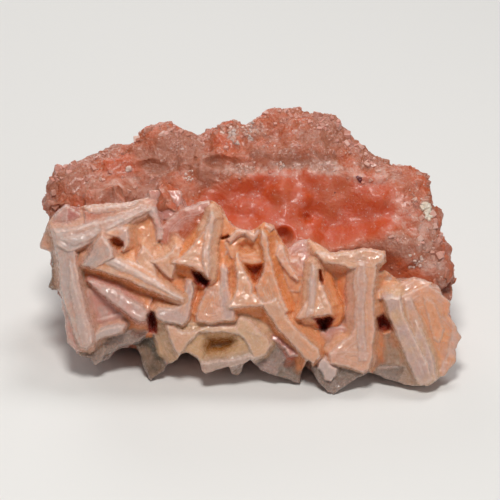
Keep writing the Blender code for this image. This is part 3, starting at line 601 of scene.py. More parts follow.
# Base colours, as linear values.
COLOURS = {
    "white": (0.58, 0.44, 0.395),
    "pink_white": (0.6, 0.4, 0.345),
    "cream": (0.7, 0.39, 0.255),
    "flesh": (0.7, 0.38, 0.27),
    "rose": (0.66, 0.31, 0.25),
    "pink": (0.54, 0.19, 0.15),
    "peach": (0.8, 0.41, 0.24),
    "apricot": (0.8, 0.34, 0.155),
    "orange": (0.8, 0.27, 0.085),
    # The colour of hollows and cavities, partly painted shade.
    "deep": (0.6, 0.12, 0.026),
    "straw": (0.7, 0.43, 0.27),
    "yellow": (0.64, 0.385, 0.21),
    "brown": (0.13, 0.048, 0.012),
    # Painted shade in the yellow crystal's hollow.
    "hollow_shade_amber": (0.36, 0.13, 0.02),
    "bloom": (0.72, 0.47, 0.39),
    "tan": (0.4, 0.24, 0.155),
    "smoky": (0.36, 0.25, 0.19),
    "dusk": (0.5, 0.35, 0.29),
    # Painted shade on the dark blade at the bottom.
    "murk": (0.13, 0.085, 0.048),
    "crust": (0.41, 0.14, 0.078),
    "salmon": (0.54, 0.12, 0.042),
    "jelly": (0.54, 0.064, 0.004),
    # Painted shade in the dark holes and in the recess under the mass.
    "blood": (0.3, 0.024, 0.01),
    "frost": (0.73, 0.545, 0.48),
    "lump": (0.84, 0.73, 0.6),
    "speck": (0.12, 0.003, 0.012),
    "floor": (0.8, 0.79, 0.77),
}


def lean_rows():
    """The leaning frame's axes, across, up and out, as rows."""
    angle = math.radians(LEAN)
    return np.array([
        (1.0, 0.0, 0.0),
        (0.0, math.sin(angle), math.cos(angle)),
        (0.0, -math.cos(angle), math.sin(angle)),
    ])


def to_world(points):
    """Points of the leaning frame as the specimen's own coordinates, in metres."""
    return (np.asarray(points, float) @ lean_rows() - np.array((*BASE_MIDDLE, 0.0))) * MM


def seen(pixels, out=RELIEF_OUT):
    """Places in the photograph's frame as across and up, for things that lie so far out."""
    scale = FRAME_WIDTH / PICTURE * (VIEW_DISTANCE - out) / (VIEW_DISTANCE - SUBJECT_OUT)
    half = 0.5 * PICTURE
    return np.array([(VIEW_MIDDLE[0] + (x - half) * scale, VIEW_MIDDLE[1] + (half - y) * scale)
                     for x, y in pixels])


def square_edges(angles):
    """The three square edges that leave a corner, from the directions in which they are seen to run."""
    turns = np.radians(angles)
    rows = np.array([np.cos(2.0 * turns), np.sin(2.0 * turns), np.ones(3)])
    shown = np.sqrt(np.clip(np.linalg.solve(rows, [0.0, 0.0, 2.0]), 0.0, 1.0))
    back = np.sqrt(np.maximum(0.0, 1.0 - shown * shown))
    edges = np.column_stack([np.cos(turns) * shown, np.sin(turns) * shown, -back])
    first = edges[0] / np.linalg.norm(edges[0])
    second = edges[1] - first * edges[1].dot(first)
    second /= np.linalg.norm(second)
    third = np.cross(first, second)
    if third.dot(edges[2]) < 0.0:
        third = -third
    return np.array([first, second, third])


def noise_values(points, closeness, start=(0.0, 0.0, 0.0)):
    """Smooth noise from -1 to 1 at each point. Closeness is how many lumps there are to a millimetre."""
    shift = Vector(start)
    return np.array([noise.noise(Vector(point) * closeness + shift) for point in points])


def noise_shifts(points, layers, seed):
    """A smooth random shift of each point, from layers of (closeness, size)."""
    shifts = np.zeros((len(points), 3))
    for closeness, size in layers:
        for axis in range(3):
            start = (seed * 3.7 + axis * 11.3, seed * 1.9 - axis * 5.1, axis * 7.7)
            shifts[:, axis] += noise_values(points, closeness, start) * size
    return shifts


def grain_values(points, closeness):
    """How far each point is from the middle of its grain, in grains. The grains are square ones."""
    rows = []
    for point in points:
        distances, _ = noise.voronoi(Vector(point) * closeness, distance_metric="CHEBYCHEV")
        rows.append(distances[0])
    return np.array(rows)


def frost_values(points, level):
    """How frosted each point of a cube is, in broad patches."""
    return np.clip(level + 0.6 * noise_values(points, 0.3, (6.0, 1.0, 2.0)), 0.0, 1.0)


def smooth_step(low, high, values):
    share = np.clip((values - low) / (high - low), 0.0, 1.0)
    return share * share * (3.0 - 2.0 * share)


def patch_reach(across, up, patch):
    """How far each place lies from a patch's middle, where 1 is its edge."""
    middle_across, middle_up, half_width, half_height = patch
    return np.hypot((across - middle_across) / half_width, (up - middle_up) / half_height)


def patch_mask(across, up, patches):
    """1 inside any of the patches and 0 outside, with a soft edge."""
    mask = np.zeros(len(across))
    for patch in patches:
        mask = np.maximum(mask, 1.0 - smooth_step(*PATCH_EDGE, patch_reach(across, up, patch)))
    return mask


def box_net(counts):
    """The net of a box's surface: whole-number places of its points, and its four-cornered faces."""
    faces = []
    for axis in range(3):
        side_a = (axis + 1) % 3
        side_b = (axis + 2) % 3
        steps_a, steps_b = np.meshgrid(np.arange(counts[side_a]), np.arange(counts[side_b]), indexing="ij")
        for end in (0, counts[axis]):
            loop = ((0, 0), (1, 0), (1, 1), (0, 1))
            if end == 0:
                loop = loop[::-1]
            sheet = np.empty((steps_a.size, 4, 3), int)
            for turn, (add_a, add_b) in enumerate(loop):
                sheet[:, turn, axis] = end
                sheet[:, turn, side_a] = steps_a.ravel() + add_a
                sheet[:, turn, side_b] = steps_b.ravel() + add_b
            faces.append(sheet)
    faces = np.concatenate(faces)
    places, index = np.unique(faces.reshape(-1, 3), axis=0, return_inverse=True)
    return places, index.reshape(-1, 4)


def net_of(bm):
    """A bmesh's points and faces as arrays. The bmesh is freed."""
    points = np.array([vert.co for vert in bm.verts])
    faces = np.array([[vert.index for vert in face.verts] for face in bm.faces])
    bm.free()
    return points, faces


def cut_at_base(mesh):
    """Cuts a piece off flat at the plane that the specimen rests on."""
    bm = bmesh.new()
    bm.from_mesh(mesh)
    everything = bm.verts[:] + bm.edges[:] + bm.faces[:]
    bmesh.ops.bisect_plane(bm, geom=everything, dist=1e-7, plane_co=(0, 0, 0), plane_no=(0, 0, 1),
                           clear_inner=True)
    open_edges = [edge for edge in bm.edges if edge.is_boundary]
    if open_edges:
        bmesh.ops.holes_fill(bm, edges=open_edges, sides=0)
    bm.to_mesh(mesh)
    bm.free()


def link(name, data):
    """A new object in the scene."""
    thing = bpy.data.objects.new(name, data)
    bpy.context.scene.collection.objects.link(thing)
    return thing


def new_piece(name, points, faces, materials, attributes, smooth=True, material_index=None):
    """A piece from points of the leaning frame: kept in the specimen's box and cut flat at its base."""
    world = to_world(points)
    low = np.array((CAD_LOW[0], CAD_LOW[1], -1.0)) + BOX_MARGIN
    world = np.clip(world, low, CAD_HIGH - BOX_MARGIN)
    mesh = bpy.data.meshes.new(name)
    mesh.from_pydata(world.tolist(), [], faces)
    for label, values in attributes.items():
        values = np.asarray(values, np.float32)
        if values.ndim == 2:
            layer = mesh.attributes.new(label, "FLOAT_COLOR", "POINT")
            layer.data.foreach_set("color", np.column_stack([values, np.ones(len(values))]).ravel())
        else:
            layer = mesh.attributes.new(label, "FLOAT", "POINT")
            layer.data.foreach_set("value", values)
    for material in materials:
        mesh.materials.append(material)
    if material_index is not None:
        mesh.polygons.foreach_set("material_index", np.asarray(material_index, np.int32))
    if world[:, 2].min() < 0.0:
        cut_at_base(mesh)
    mesh.polygons.foreach_set("use_smooth", [smooth] * len(mesh.polygons))
    mesh.update()
    piece = link(name, mesh)
    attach(piece, BODY)
    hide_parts(NODE)


class Shape:
    """Points, faces and point values gathered from several forms into one piece."""

    def __init__(self, material):
        self.material = material
        self.points = []
        self.faces = []
        self.values = {}
        self.count = 0

    def add(self, points, faces, **values):
        """Adds a form. Each value is one for each point, or one that all its points share."""
        self.points.append(points)
        self.faces.extend((faces + self.count).tolist())
        self.count += len(points)
        for label, value in values.items():
            shared = np.shape(value)[:1] != (len(points),)
            rows = (len(points), *np.shape(value)) if shared else np.shape(value)
            self.values.setdefault(label, []).append(np.broadcast_to(value, rows))

    def make(self, name, smooth=True):
        values = {label: np.concatenate(rows) for label, rows in self.values.items()}
        new_piece(name, np.concatenate(self.points), self.faces, [self.material], values, smooth)


class Look:
    """A new procedural material, with short calls for the nodes that feed its shader."""

    def __init__(self, name):
        self.material = bpy.data.materials.new(name)
        self.material.use_nodes = True
        self.tree = self.material.node_tree
        self.shader = self.tree.nodes["Principled BSDF"]
        self.spot = self.node("TexCoord", {}, "Object")

    def feed(self, node, inputs):
        """Sets a node's inputs to values, or links them to other nodes' sockets."""
        for label, value in inputs.items():
            if isinstance(value, bpy.types.NodeSocket):
                self.tree.links.new(value, node.inputs[label])
            else:
                node.inputs[label].default_value = value

    def node(self, kind, inputs, output, **settings):
        """One of a new shader node's output sockets."""
        made = self.tree.nodes.new("ShaderNode" + kind)
        for label, value in settings.items():
            setattr(made, label, value)
        self.feed(made, inputs)
        return made.outputs[output]

    def value(self, name):
        return self.node("Attribute", {}, "Fac", attribute_name=name)

    def tint(self, name):
        return self.node("Attribute", {}, "Color", attribute_name=name)

    def noise(self, per_mm, detail=3.0, roughness=0.55):
        inputs = {"Vector": self.spot, "Scale": per_mm / MM, "Detail": detail, "Roughness": roughness}
        return self.node("TexNoise", inputs, "Fac")

    def ramp(self, value, low, high, start=0.0, end=1.0):
        inputs = {"Value": value, "From Min": low, "From Max": high, "To Min": start, "To Max": end}
        return self.node("MapRange", inputs, "Result", clamp=True)

    def maths(self, operation, first, second):
        return self.node("Math", {0: first, 1: second}, "Value", operation=operation)

    def plus(self, first, second):
        return self.maths("ADD", first, second)

    def times(self, first, second):
        return self.maths("MULTIPLY", first, second)

    def mix(self, share, first, second):
        """One colour going over into another. Each is a socket or a name from COLOURS."""
        first, second = ((*COLOURS[part], 1.0) if isinstance(part, str) else part for part in (first, second))
        return self.node("Mix", {"Factor": share, 6: first, 7: second}, 2, data_type="RGBA")

    def bump(self, height, strength, distance_mm, under=None):
        """The surface raised by a height, on top of the bump under it."""
        inputs = {"Height": height, "Strength": strength, "Distance": distance_mm * MM}
        if under is not None:
            inputs["Normal"] = under
        return self.node("Bump", inputs, "Normal")

    def salt(self, colour, roughness, normal, milkiness, depth_mm, coat=(0.0, 0.03), clearness=0.0):
        """Ends the look as salt that light goes into: milky as far as depth_mm, and clear in part."""
        self.feed(self.shader, {
            **SALT, "Base Color": colour, "Roughness": roughness, "Normal": normal,
            "Subsurface Weight": milkiness, "Subsurface Scale": depth_mm * MM,
            "Coat Weight": coat[0], "Coat Roughness": coat[1], "Transmission Weight": clearness,
        })
        return self.material


def mound_look():
    """The granular salmon salt: pink crust, smooth orange parts and whitish frost, with painted shade in its
    cavities.
    """
    look = Look("granular_salt")
    broad = look.noise(0.09)
    middle = look.noise(0.38, 5.0, 0.65)
    fine = look.noise(1.3, 4.0, 0.6)
    smooth = look.value("smooth")

    warm = look.plus(look.times(smooth, 0.85), look.ramp(broad, 0.38, 0.68, -0.2, 0.75))
    base = look.mix(look.ramp(warm, 0.0, 0.55), "crust", "salmon")
    base = look.mix(look.ramp(warm, 0.5, 1.15), base, "jelly")
    base = look.mix(look.ramp(middle, 0.5, 0.72, 0.0, 0.4), base, "rose")
    rough_part = look.maths("SUBTRACT", 1.0, look.times(smooth, 0.8))
    frost = look.times(look.ramp(fine, 0.56, 0.68), rough_part)
    frost = look.times(frost, look.ramp(middle, 0.46, 0.62, 0.0, 0.85))
    patches = look.times(look.value("frosted"), look.ramp(middle, 0.4, 0.62, 0.0, 0.5))
    base = look.mix(look.maths("MAXIMUM", frost, patches), base, "bloom")
    glints = look.ramp(look.noise(2.1, 2.0, 0.5), 0.64, 0.68)
    base = look.mix(look.times(glints, look.ramp(middle, 0.44, 0.6, 0.0, 0.9)), base, "white")
    # Painted shade: cavities and pits take the deep colour, partly the deeper colour of thick salt.
    base = look.mix(look.ramp(look.value("cavity"), 0.1, 1.0), base, "deep")

    roughness = look.plus(look.ramp(fine, 0.3, 0.7, 0.2, 0.5), look.times(smooth, 0.16))
    cells = look.node("TexVoronoi", {"Vector": look.spot, "Scale": 1.1 / MM, "Randomness": 0.9}, "Distance",
                      distance="CHEBYCHEV")
    relief = look.plus(look.times(cells, -0.6), fine)
    relief = look.plus(relief, look.times(look.noise(3.2, 3.0, 0.6), 0.5))
    normal = look.bump(relief, look.ramp(smooth, 0.0, 1.0, 0.8, 0.4), 0.4)
    return look.salt(base, roughness, normal, 0.7, 1.4, coat=(0.15, 0.18))


def crust_look():
    """The small cubes: clear pink salt with whitish frosted ones among them."""
    look = Look("crust_salt")
    fine = look.noise(1.6, 4.0, 0.6)
    broad = look.noise(0.12, 2.0)
    base = look.mix(look.ramp(broad, 0.35, 0.65), "crust", "rose")
    base = look.mix(look.value("smooth"), base, "jelly")
    share = look.plus(look.value("frosted"), look.ramp(fine, 0.5, 0.7, -0.2, 0.35))
    base = look.mix(look.ramp(share, 0.1, 1.0), base, "bloom")
    roughness = look.ramp(fine, 0.3, 0.7, 0.28, 0.55)
    return look.salt(base, roughness, look.bump(fine, 0.35, 0.2), 0.35, 0.4, coat=(0.15, 0.25))


def lump_look():
    """Small lumps, each in its own colour."""
    look = Look("lump_salt")
    fine = look.noise(1.8, 4.0, 0.6)
    base = look.mix(look.ramp(fine, 0.4, 0.7, 0.0, 0.35), look.tint("tint"), "crust")
    return look.salt(base, 0.4, look.bump(fine, 0.5, 0.3), 0.2, 0.5)


def relief_look(name, whiteness, clearness):
    """The crystal front's salt, coloured by how deep each place lies under its ridge, with growth lines,
    painted highlights along the edges, painted glints and painted shade in the hollows.
    """
    look = Look(name)
    broad = look.noise(0.22)
    fine = look.noise(1.1, 4.0, 0.6)
    grain = look.noise(2.6, 3.0, 0.6)
    lines = look.node("TexNoise", {"W": look.value("inset"), "Scale": 2.2, "Detail": 4.0, "Roughness": 0.75},
                      "Fac", noise_dimensions="1D")
    depth = look.plus(look.value("depth"), look.ramp(broad, 0.3, 0.7, -0.12, 0.2))
    depth = look.plus(depth, look.ramp(fine, 0.3, 0.7, -0.025, 0.025))

    base = look.mix(look.ramp(depth, 0.0, 0.2), look.tint("ridge_tint"), look.tint("web_tint"))
    # Low places go over to the floor colour: partly the deeper colour of thick salt, partly painted shade.
    base = look.mix(look.ramp(depth, 0.32, 0.8), base, look.tint("floor_tint"))
    base = look.mix(look.ramp(lines, 0.34, 0.48, 0.55, 0.0), base, look.tint("web_tint"))
    pale = look.times(look.ramp(lines, 0.52, 0.66, 0.0, whiteness), look.ramp(depth, 0.0, 0.6, 1.0, 0.15))
    # A painted highlight along each facet's edge, in the frost colour.
    edge_highlight = look.times(look.value("edge"), look.ramp(fine, 0.35, 0.6, 0.15, 0.75))
    # Painted glints: small white specks in broad patches, partly white frost.
    specks = look.times(look.ramp(grain, 0.62, 0.68, 0.0, 0.8), look.ramp(broad, 0.48, 0.6))
    for share in (pale, edge_highlight, specks):
        base = look.mix(share, base, "frost")

    normal = look.bump(lines, 0.8, 0.35)
    normal = look.bump(grain, 0.15, 0.15, normal)
    normal = look.bump(fine, 0.35, 0.3, normal)
    roughness = look.ramp(fine, 0.3, 0.7, 0.13, 0.38)
    return look.salt(base, roughness, normal, 0.8, 1.2, coat=(0.4, 0.1), clearness=clearness)


def outline_reach(turns):
    """How far the mound's outline lies from its centre in each direction."""
    offsets = np.array(MOUND_OUTLINE) - np.array(MOUND_CENTRE)
    angles = np.arctan2(offsets[:, 1], offsets[:, 0])
    reaches = np.hypot(offsets[:, 0], offsets[:, 1])
    order = np.argsort(angles)
    return np.interp(turns, angles[order], reaches[order], period=2.0 * math.pi)


def mound_relief(across, up):
    """How high the mound's front features stand above its plain surface."""
    height = np.zeros(len(across))
    for *patch, rise in MOUND_RELIEF:
        reach = patch_reach(across, up, patch)
        height += rise * np.clip(1.0 - reach ** 2, 0.0, 1.0) ** RELIEF_SLOPE
    return height


def mound_surface(directions):
    """Where directions from the mound's middle meet its plain surface, and how high its relief is there."""
    turns = np.arctan2(directions[:, 1], directions[:, 0])
    spread = np.hypot(directions[:, 0], directions[:, 1])
    reach = outline_reach(turns) * spread ** OUTLINE_FULLNESS
    across = MOUND_CENTRE[0] + reach * np.cos(turns)
    up = MOUND_CENTRE[1] + reach * np.sin(turns)
    ahead = np.maximum(directions[:, 2], 0.0)
    behind = np.maximum(-directions[:, 2], 0.0)
    relief = mound_relief(across, up) * np.minimum(1.0, RELIEF_GROWTH * ahead)
    out = MOUND_OUT + MOUND_FRONT * ahead ** FRONT_FULLNESS + relief - MOUND_BACK * behind ** BACK_FULLNESS
    share = np.maximum(0.0, up - MOUND_BREAK) / (MOUND_TOP - MOUND_BREAK)
    out = out - MOUND_SETBACK * share ** SETBACK_CURVE
    points = np.column_stack([across, up, out])
    lump = np.zeros(len(points))
    for closeness, height, start in MOUND_LUMPS:
        lump += noise_values(points, closeness, start) * height
    return points + directions * lump[:, None], relief


def make_mound(material):
    """The granular mound, as a cube-shaped net of points blown out to the mound's outline."""
    places, faces = box_net((MOUND_CELLS,) * 3)
    directions = np.tan((2.0 * places / MOUND_CELLS - 1.0) * math.pi / 4.0)
    directions /= np.linalg.norm(directions, axis=1)[:, None]
    points, relief = mound_surface(directions)
    front = smooth_step(*FRONT_EDGE, directions[:, 2])
    smooth = patch_mask(points[:, 0], points[:, 1], SMOOTH_PATCHES) * front
    frosted = patch_mask(points[:, 0], points[:, 1], FROSTED_PATCHES) * front
    rise = np.zeros(len(points))
    for closeness, height in ROUGH_LUMPS:
        rise += noise_values(points, closeness, (3.0, 9.0, 1.0)) * height
    for closeness, height in GRAINS:
        rise += (GRAIN_LEVEL - grain_values(points, closeness)) * height
    rise = np.minimum(rise, ROUGH_MOST) * (1.0 - (1.0 - SMOOTH_ROUGHNESS) * smooth)
    rise -= COVERED_SINK * front * patch_mask(points[:, 0], points[:, 1], COVERED)
    # Painted shade in the relief's dips and the rough surface's pits, partly the deeper colour of thick salt.
    cavity = np.clip(-(relief + CAVITY_START) / CAVITY_RUN, 0.0, 1.0)
    cavity += np.clip(-rise - PIT_START, 0.0, 1.0) * PIT_STRENGTH
    points = points + directions * rise[:, None]
    values = {"smooth": smooth, "frosted": frosted, "cavity": cavity}
    new_piece("mound", points, faces.tolist(), [material], values)
    return points, directions, smooth, frosted


def chamfered_cube():
    """A small cube with narrow bevels, one millimetre across."""
    bm = bmesh.new()
    bmesh.ops.create_cube(bm, size=1.0)
    bmesh.ops.bevel(bm, geom=bm.edges[:] + bm.verts[:], offset=CRUST_BEVEL, segments=1, affect="EDGES")
    bmesh.ops.triangulate(bm, faces=bm.faces[:])
    return net_of(bm)


def random_turns(rng, count):
    """Rotation matrices spread evenly over all turns."""
    quads = rng.normal(size=(count, 4))
    quads /= np.linalg.norm(quads, axis=1)[:, None]
    w, x, y, z = quads.T
    return np.array([
        [1 - 2 * (y * y + z * z), 2 * (x * y - z * w), 2 * (x * z + y * w)],
        [2 * (x * y + z * w), 1 - 2 * (x * x + z * z), 2 * (y * z - x * w)],
        [2 * (x * z - y * w), 2 * (y * z + x * w), 1 - 2 * (x * x + y * y)],
    ]).transpose(2, 0, 1)


def make_crust(points, directions, smooth, frosted):
    """Small cubes half sunk in the mound, thickest round its rim and on its frosted parts."""
    rng = np.random.default_rng(CRUST_SEED)
    rim = 1.0 - smooth_step(0.25, 0.75, np.abs(directions[:, 2]))
    clumped = noise_values(points, 0.16, (2.0, 4.0, 8.0)) > 0.1
    weight = CRUST_ANYWHERE + CRUST_ON_RIM * rim + CRUST_ON_FROST * frosted + CRUST_IN_CLUMPS * clumped
    weight *= 1.0 - SMOOTH_BARE * smooth
    weight *= points[:, 2] > CRUST_HINDMOST
    chosen = rng.choice(len(points), CRUST_COUNT, replace=False, p=weight / weight.sum())
    least, most = CRUST_SIZES
    sizes = least + (most - least) * rng.random(CRUST_COUNT) ** CRUST_FEW_LARGE
    sizes *= 0.75 + 0.5 * rim[chosen]
    cube, faces = chamfered_cube()
    turns = random_turns(rng, CRUST_COUNT)
    stretch = rng.uniform(*CRUST_STRETCH, (CRUST_COUNT, 3))
    shape = Shape(crust_look())
    for index, spot in enumerate(chosen):
        centre = points[spot] - directions[spot] * sizes[index] * rng.uniform(*CRUST_SUNK)
        placed = (cube * stretch[index] * sizes[index]) @ turns[index].T + centre
        frost = np.clip(frosted[spot] * 0.6 + rng.normal(0.1, 0.3), 0.0, 1.0)
        shape.add(placed, faces, frosted=frost, smooth=smooth[spot] * 0.7)
    shape.make("crust", smooth=False)


def make_lumps(mound_points, mound_directions):
    """The pale lump, the dark red specks and the white patches that stand on the mound."""
    bm = bmesh.new()
    bmesh.ops.create_icosphere(bm, subdivisions=3, radius=1.0)
    ball, faces = net_of(bm)
    ball = np.sign(ball) * np.abs(ball) ** LUMP_BOXINESS
    rng = np.random.default_rng(LUMP_SEED)
    ahead = np.flatnonzero(mound_directions[:, 2] > 0.05)
    shape = Shape(lump_look())
    for name, across, up, spread, size, count in LUMPS:
        for _ in range(count):
            place = np.array([across, up]) + rng.uniform(-1.0, 1.0, 2) * spread
            gaps = np.hypot(*(mound_points[ahead, :2] - place).T)
            spot = ahead[gaps.argmin()]
            radius = size * rng.uniform(0.5, 1.0) if count > 1 else size
            blob = ball * radius * rng.uniform(0.7, 1.1, 3) @ random_turns(rng, 1)[0].T
            blob = blob + mound_points[spot] - mound_directions[spot] * LUMP_SUNK * radius
            skin = [(closeness, height * radius) for closeness, height in LUMP_SKIN]
            blob += noise_shifts(blob, skin, len(shape.points))
            shape.add(blob, faces, tint=np.array(COLOURS[name]))
    shape.make("lumps")


def ring_inset(off_a, off_b, half_a, half_b):
    """How far inside a face's edge the rounded-square ring through each point lies."""
    low = np.zeros(len(off_a))
    high = np.full(len(off_a), min(half_a, half_b) - 1e-6)
    for _ in range(26):
        middle = 0.5 * (low + high)
        reach = (off_a / (half_a - middle)) ** SQUARENESS + (off_b / (half_b - middle)) ** SQUARENESS
        low = np.where(reach < 1.0, middle, low)
        high = np.where(reach < 1.0, high, middle)
    return low


def hollow_depth(off_a, off_b, half_a, half_b, rim, share, terrace, shake):
    """How far each point of a face sinks, in millimetres and as a share of the way to its middle."""
    gap = np.minimum(half_a - off_a, half_b - off_b)
    inset = ring_inset(off_a, off_b, half_a, half_b)
    reach = min(half_a, half_b) - rim
    steps = inset / terrace + shake
    stairs = terrace * (np.floor(steps) + smooth_step(0.45, 1.0, steps - np.floor(steps)) - shake)
    stepped = inset + (stairs - inset) * TERRACE_STRENGTH
    part = np.clip((stepped - rim) / reach, 0.0, 1.0)
    sink = share * reach * (1.0 - (1.0 - part) ** HOLLOW_CURVE)
    return np.minimum(sink, SINK_LIMIT * gap), part


def rounded(spots, lengths, rim, along, seed):
    """Rounds a box's edges by an amount that varies along them, so that they look worn."""
    radius = np.clip(ROUNDING * rim, *ROUNDING_RANGE)
    wear = radius * (1.0 + 0.6 * noise_values(along, 0.7, (seed * 1.3, 5.0, 2.0)))[:, None]
    core = np.clip(spots, wear, lengths - wear)
    way = spots - core
    size = np.maximum(np.linalg.norm(way, axis=1)[:, None], 1e-9)
    return core + way / size * wear


def hopper_form(corner, angles, lengths, rim, share, seed):
    """A skeletal cube: points, faces, and how deep in its hollows each point lies."""
    edges = square_edges(angles)
    lengths = np.array(lengths)
    rim = min(rim, RIM_MOST * lengths.min())
    counts = np.clip(np.round(lengths / CUBE_CELL), *CUBE_CELLS).astype(int)
    places, faces = box_net(counts)
    shares = places / counts
    shares = shares - CROWDING * np.sin(2.0 * math.pi * shares) / (2.0 * math.pi)
    spots = shares * lengths
    along = spots @ edges + np.array(corner)
    shake = 0.3 * noise_values(along, 0.3, (seed * 2.3, 1.0, 4.0))
    rng = np.random.default_rng(seed)
    sinks = np.zeros((len(spots), 3))
    depth = np.zeros(len(spots))
    for axis in range(3):
        side_a = (axis + 1) % 3
        side_b = (axis + 2) % 3
        half_a = 0.5 * lengths[side_a]
        half_b = 0.5 * lengths[side_b]
        off_a = np.abs(spots[:, side_a] - half_a)
        off_b = np.abs(spots[:, side_b] - half_b)
        terrace = rng.uniform(*TERRACE)
        for end, way, part_share in ((0, 1.0, share), (counts[axis], -1.0, share * FAR_SHARE)):
            on_face = places[:, axis] == end
            sink, part = hollow_depth(off_a[on_face], off_b[on_face], half_a, half_b, rim, part_share,
                                      terrace, shake[on_face])
            sinks[on_face, axis] += way * sink
            depth[on_face] = np.maximum(depth[on_face], part * part_share)
    points = (rounded(spots, lengths, rim, along, seed) + sinks) @ edges + np.array(corner)
    points += noise_shifts(points, WOBBLE, seed)
    if np.linalg.det(edges) < 0.0:
        faces = faces[:, ::-1]
    return points, faces, depth


def make_edge_cubes(material):
    """Blocky granular crystals that stand out of the mound's edge."""
    shape = Shape(material)
    for *numbers, seed in EDGE_CUBES:
        points, faces, depth = hopper_form(*numbers, EDGE_SEED + seed)
        points = points + noise_shifts(points, CUBE_LUMPS, seed)
        # The hollows' depth paints shade into them, partly the deeper colour of thick salt.
        shape.add(points, faces, smooth=0.0, frosted=frost_values(points, 0.35), cavity=0.4 * depth)
    shape.make("edge_cubes")


def make_back_cubes(material):
    """Granular cubes half sunk in the mound's back and ends."""
    shape = Shape(material)
    for seed, (corner, angles, size) in enumerate(BACK_CUBES, BACK_SEED):
        far = np.array(corner) + square_edges(angles).sum(axis=0) * size
        points, faces, depth = hopper_form((0.0, 0.0, 0.0), angles, (size,) * 3, BACK_RIM, BACK_SHARE, seed)
        points = far - points
        points = points + noise_shifts(points, CUBE_LUMPS, seed)
        # The hollows' depth paints shade into them, partly the deeper colour of thick salt.
        shape.add(points, faces[:, ::-1], smooth=0.0, frosted=frost_values(points, 0.3), cavity=0.3 * depth)
    shape.make("back_cubes")


def signed_gap(spots, corners):
    """How far each spot is outside a closed outline, negative inside, and how much of that way is upward."""
    nearest = np.full(len(spots), 1e9)
    rise = np.zeros(len(spots))
    inside = np.zeros(len(spots), bool)
    for start, end in zip(corners, np.roll(corners, -1, axis=0)):
        side = end - start
        share = np.clip(((spots - start) @ side) / side.dot(side), 0.0, 1.0)
        way = spots - start - share[:, None] * side
        gap = np.hypot(way[:, 0], way[:, 1])
        closer = gap < nearest
        nearest = np.where(closer, gap, nearest)
        rise = np.where(closer, way[:, 1], rise)
        if start[1] != end[1]:
            crosses = (start[1] > spots[:, 1]) != (end[1] > spots[:, 1])
            meets = start[0] + (spots[:, 1] - start[1]) * side[0] / side[1]
            inside ^= crosses & (spots[:, 0] < meets)
    way_up = rise / np.maximum(nearest, 1e-6)
    return np.where(inside, -nearest, nearest), np.where(inside, 0.0, way_up)


def edge_highlight_line(gap):
    """How strongly the painted highlight line along an edge shows, so far from the edge."""
    return np.exp(-(gap / EDGE_HIGHLIGHT_WIDTH) ** 2)


def blend(values, part, goal, share):
    """Moves some of the values towards a goal by a share of the way."""
    values[part] += (goal - values[part]) * share


def relief_looks(spots):
    """How far out the crystal front lies at each spot, and what it looks like there."""
    height = np.full(len(spots), RELIEF_BASE)
    depth, lines, clear, edges = np.zeros((4, len(spots)))
    tints = np.zeros((3, len(spots), 3))
    for facet, (out, tilt, steepness, fall, colours, outline) in FACETS.items():
        corners = seen(outline)
        low = corners.min(axis=0) - RELIEF_REACH
        high = corners.max(axis=0) + RELIEF_REACH
        near = np.flatnonzero(((spots > low) & (spots < high)).all(axis=1))
        gap, way_up = signed_gap(spots[near], corners)
        top = out + (spots[near] - corners.mean(axis=0)) @ np.array(tilt)
        outside = np.maximum(gap, 0.0)
        steep = STEEPER * steepness * (1.0 - UNDERSIDE * way_up)
        drop = fall * (1.0 - np.exp(-steep * outside / fall))
        beyond = np.maximum(0.0, outside - 0.5 * fall)
        inner = np.clip(1.0 + np.minimum(gap, 0.0) / TOP_ROUNDING[0], 0.0, 1.0)
        rounding = TOP_ROUNDING[1] * (1.0 - np.sqrt(1.0 - inner * inner * 0.999))
        here = top - drop - rounding - FAR_DROP * beyond * beyond
        share = np.clip(0.5 + 0.5 * (here - height[near]) / RELIEF_BLEND, 0.0, 1.0)
        blended = np.clip(0.5 + 0.5 * (here - height[near]) / COLOUR_BLEND, 0.0, 1.0)
        height[near] += (here - height[near]) * share + RELIEF_BLEND * share * (1.0 - share)
        blend(depth, near, drop / fall, blended)
        blend(lines, near, gap + LINE_DROP * drop, share)
        # The painted highlight line along the facet's edge.
        blend(edges, near, edge_highlight_line(gap), share)
        blend(clear, near, facet in CLEAR_FACETS, share)
        for table, name in zip(tints, colours.split()):
            blend(table, near, np.array(COLOURS[name]), blended[:, None])
    # Holes: the floor colour goes over to each hole's colour, painted shade in the dark ones.
    for bottom, run, name, outline in HOLES.values():
        gap, _ = signed_gap(spots, seen(outline))
        share = smooth_step(0.0, run, -gap)
        height += (np.minimum(bottom, height) - height) * share
        depth += (1.0 - depth) * share
        tints[2] += (np.array(COLOURS[name]) - tints[2]) * smooth_step(-0.4, 0.3, -gap)[:, None]
    gap, _ = signed_gap(spots, seen(RELIEF_EDGE))
    near_rim = np.clip(1.0 + gap / RIM_ROUNDING[0], 0.0, 1.0)
    height -= RIM_ROUNDING[1] * near_rim * near_rim
    height[gap > 0.0] = RELIEF_BASE
    # edge holds the painted highlight lines along the facets' edges and along the rim.
    looks = {"depth": np.clip(depth, 0.0, 1.0), "inset": lines, "edge": np.maximum(edges, edge_highlight_line(gap)),
             "clear": clear, "ridge_tint": tints[0], "web_tint": tints[1], "floor_tint": tints[2]}
    return height, looks


def neighbourhood(table, reach):
    """The mean over a square of cells round each cell."""
    padded = np.pad(table, reach, mode="edge")
    sums = np.pad(padded.cumsum(axis=0).cumsum(axis=1), ((1, 0), (1, 0)))
    side = 2 * reach + 1
    total = sums[side:, side:] - sums[:-side, side:] - sums[side:, :-side] + sums[:-side, :-side]
    return total / side ** 2


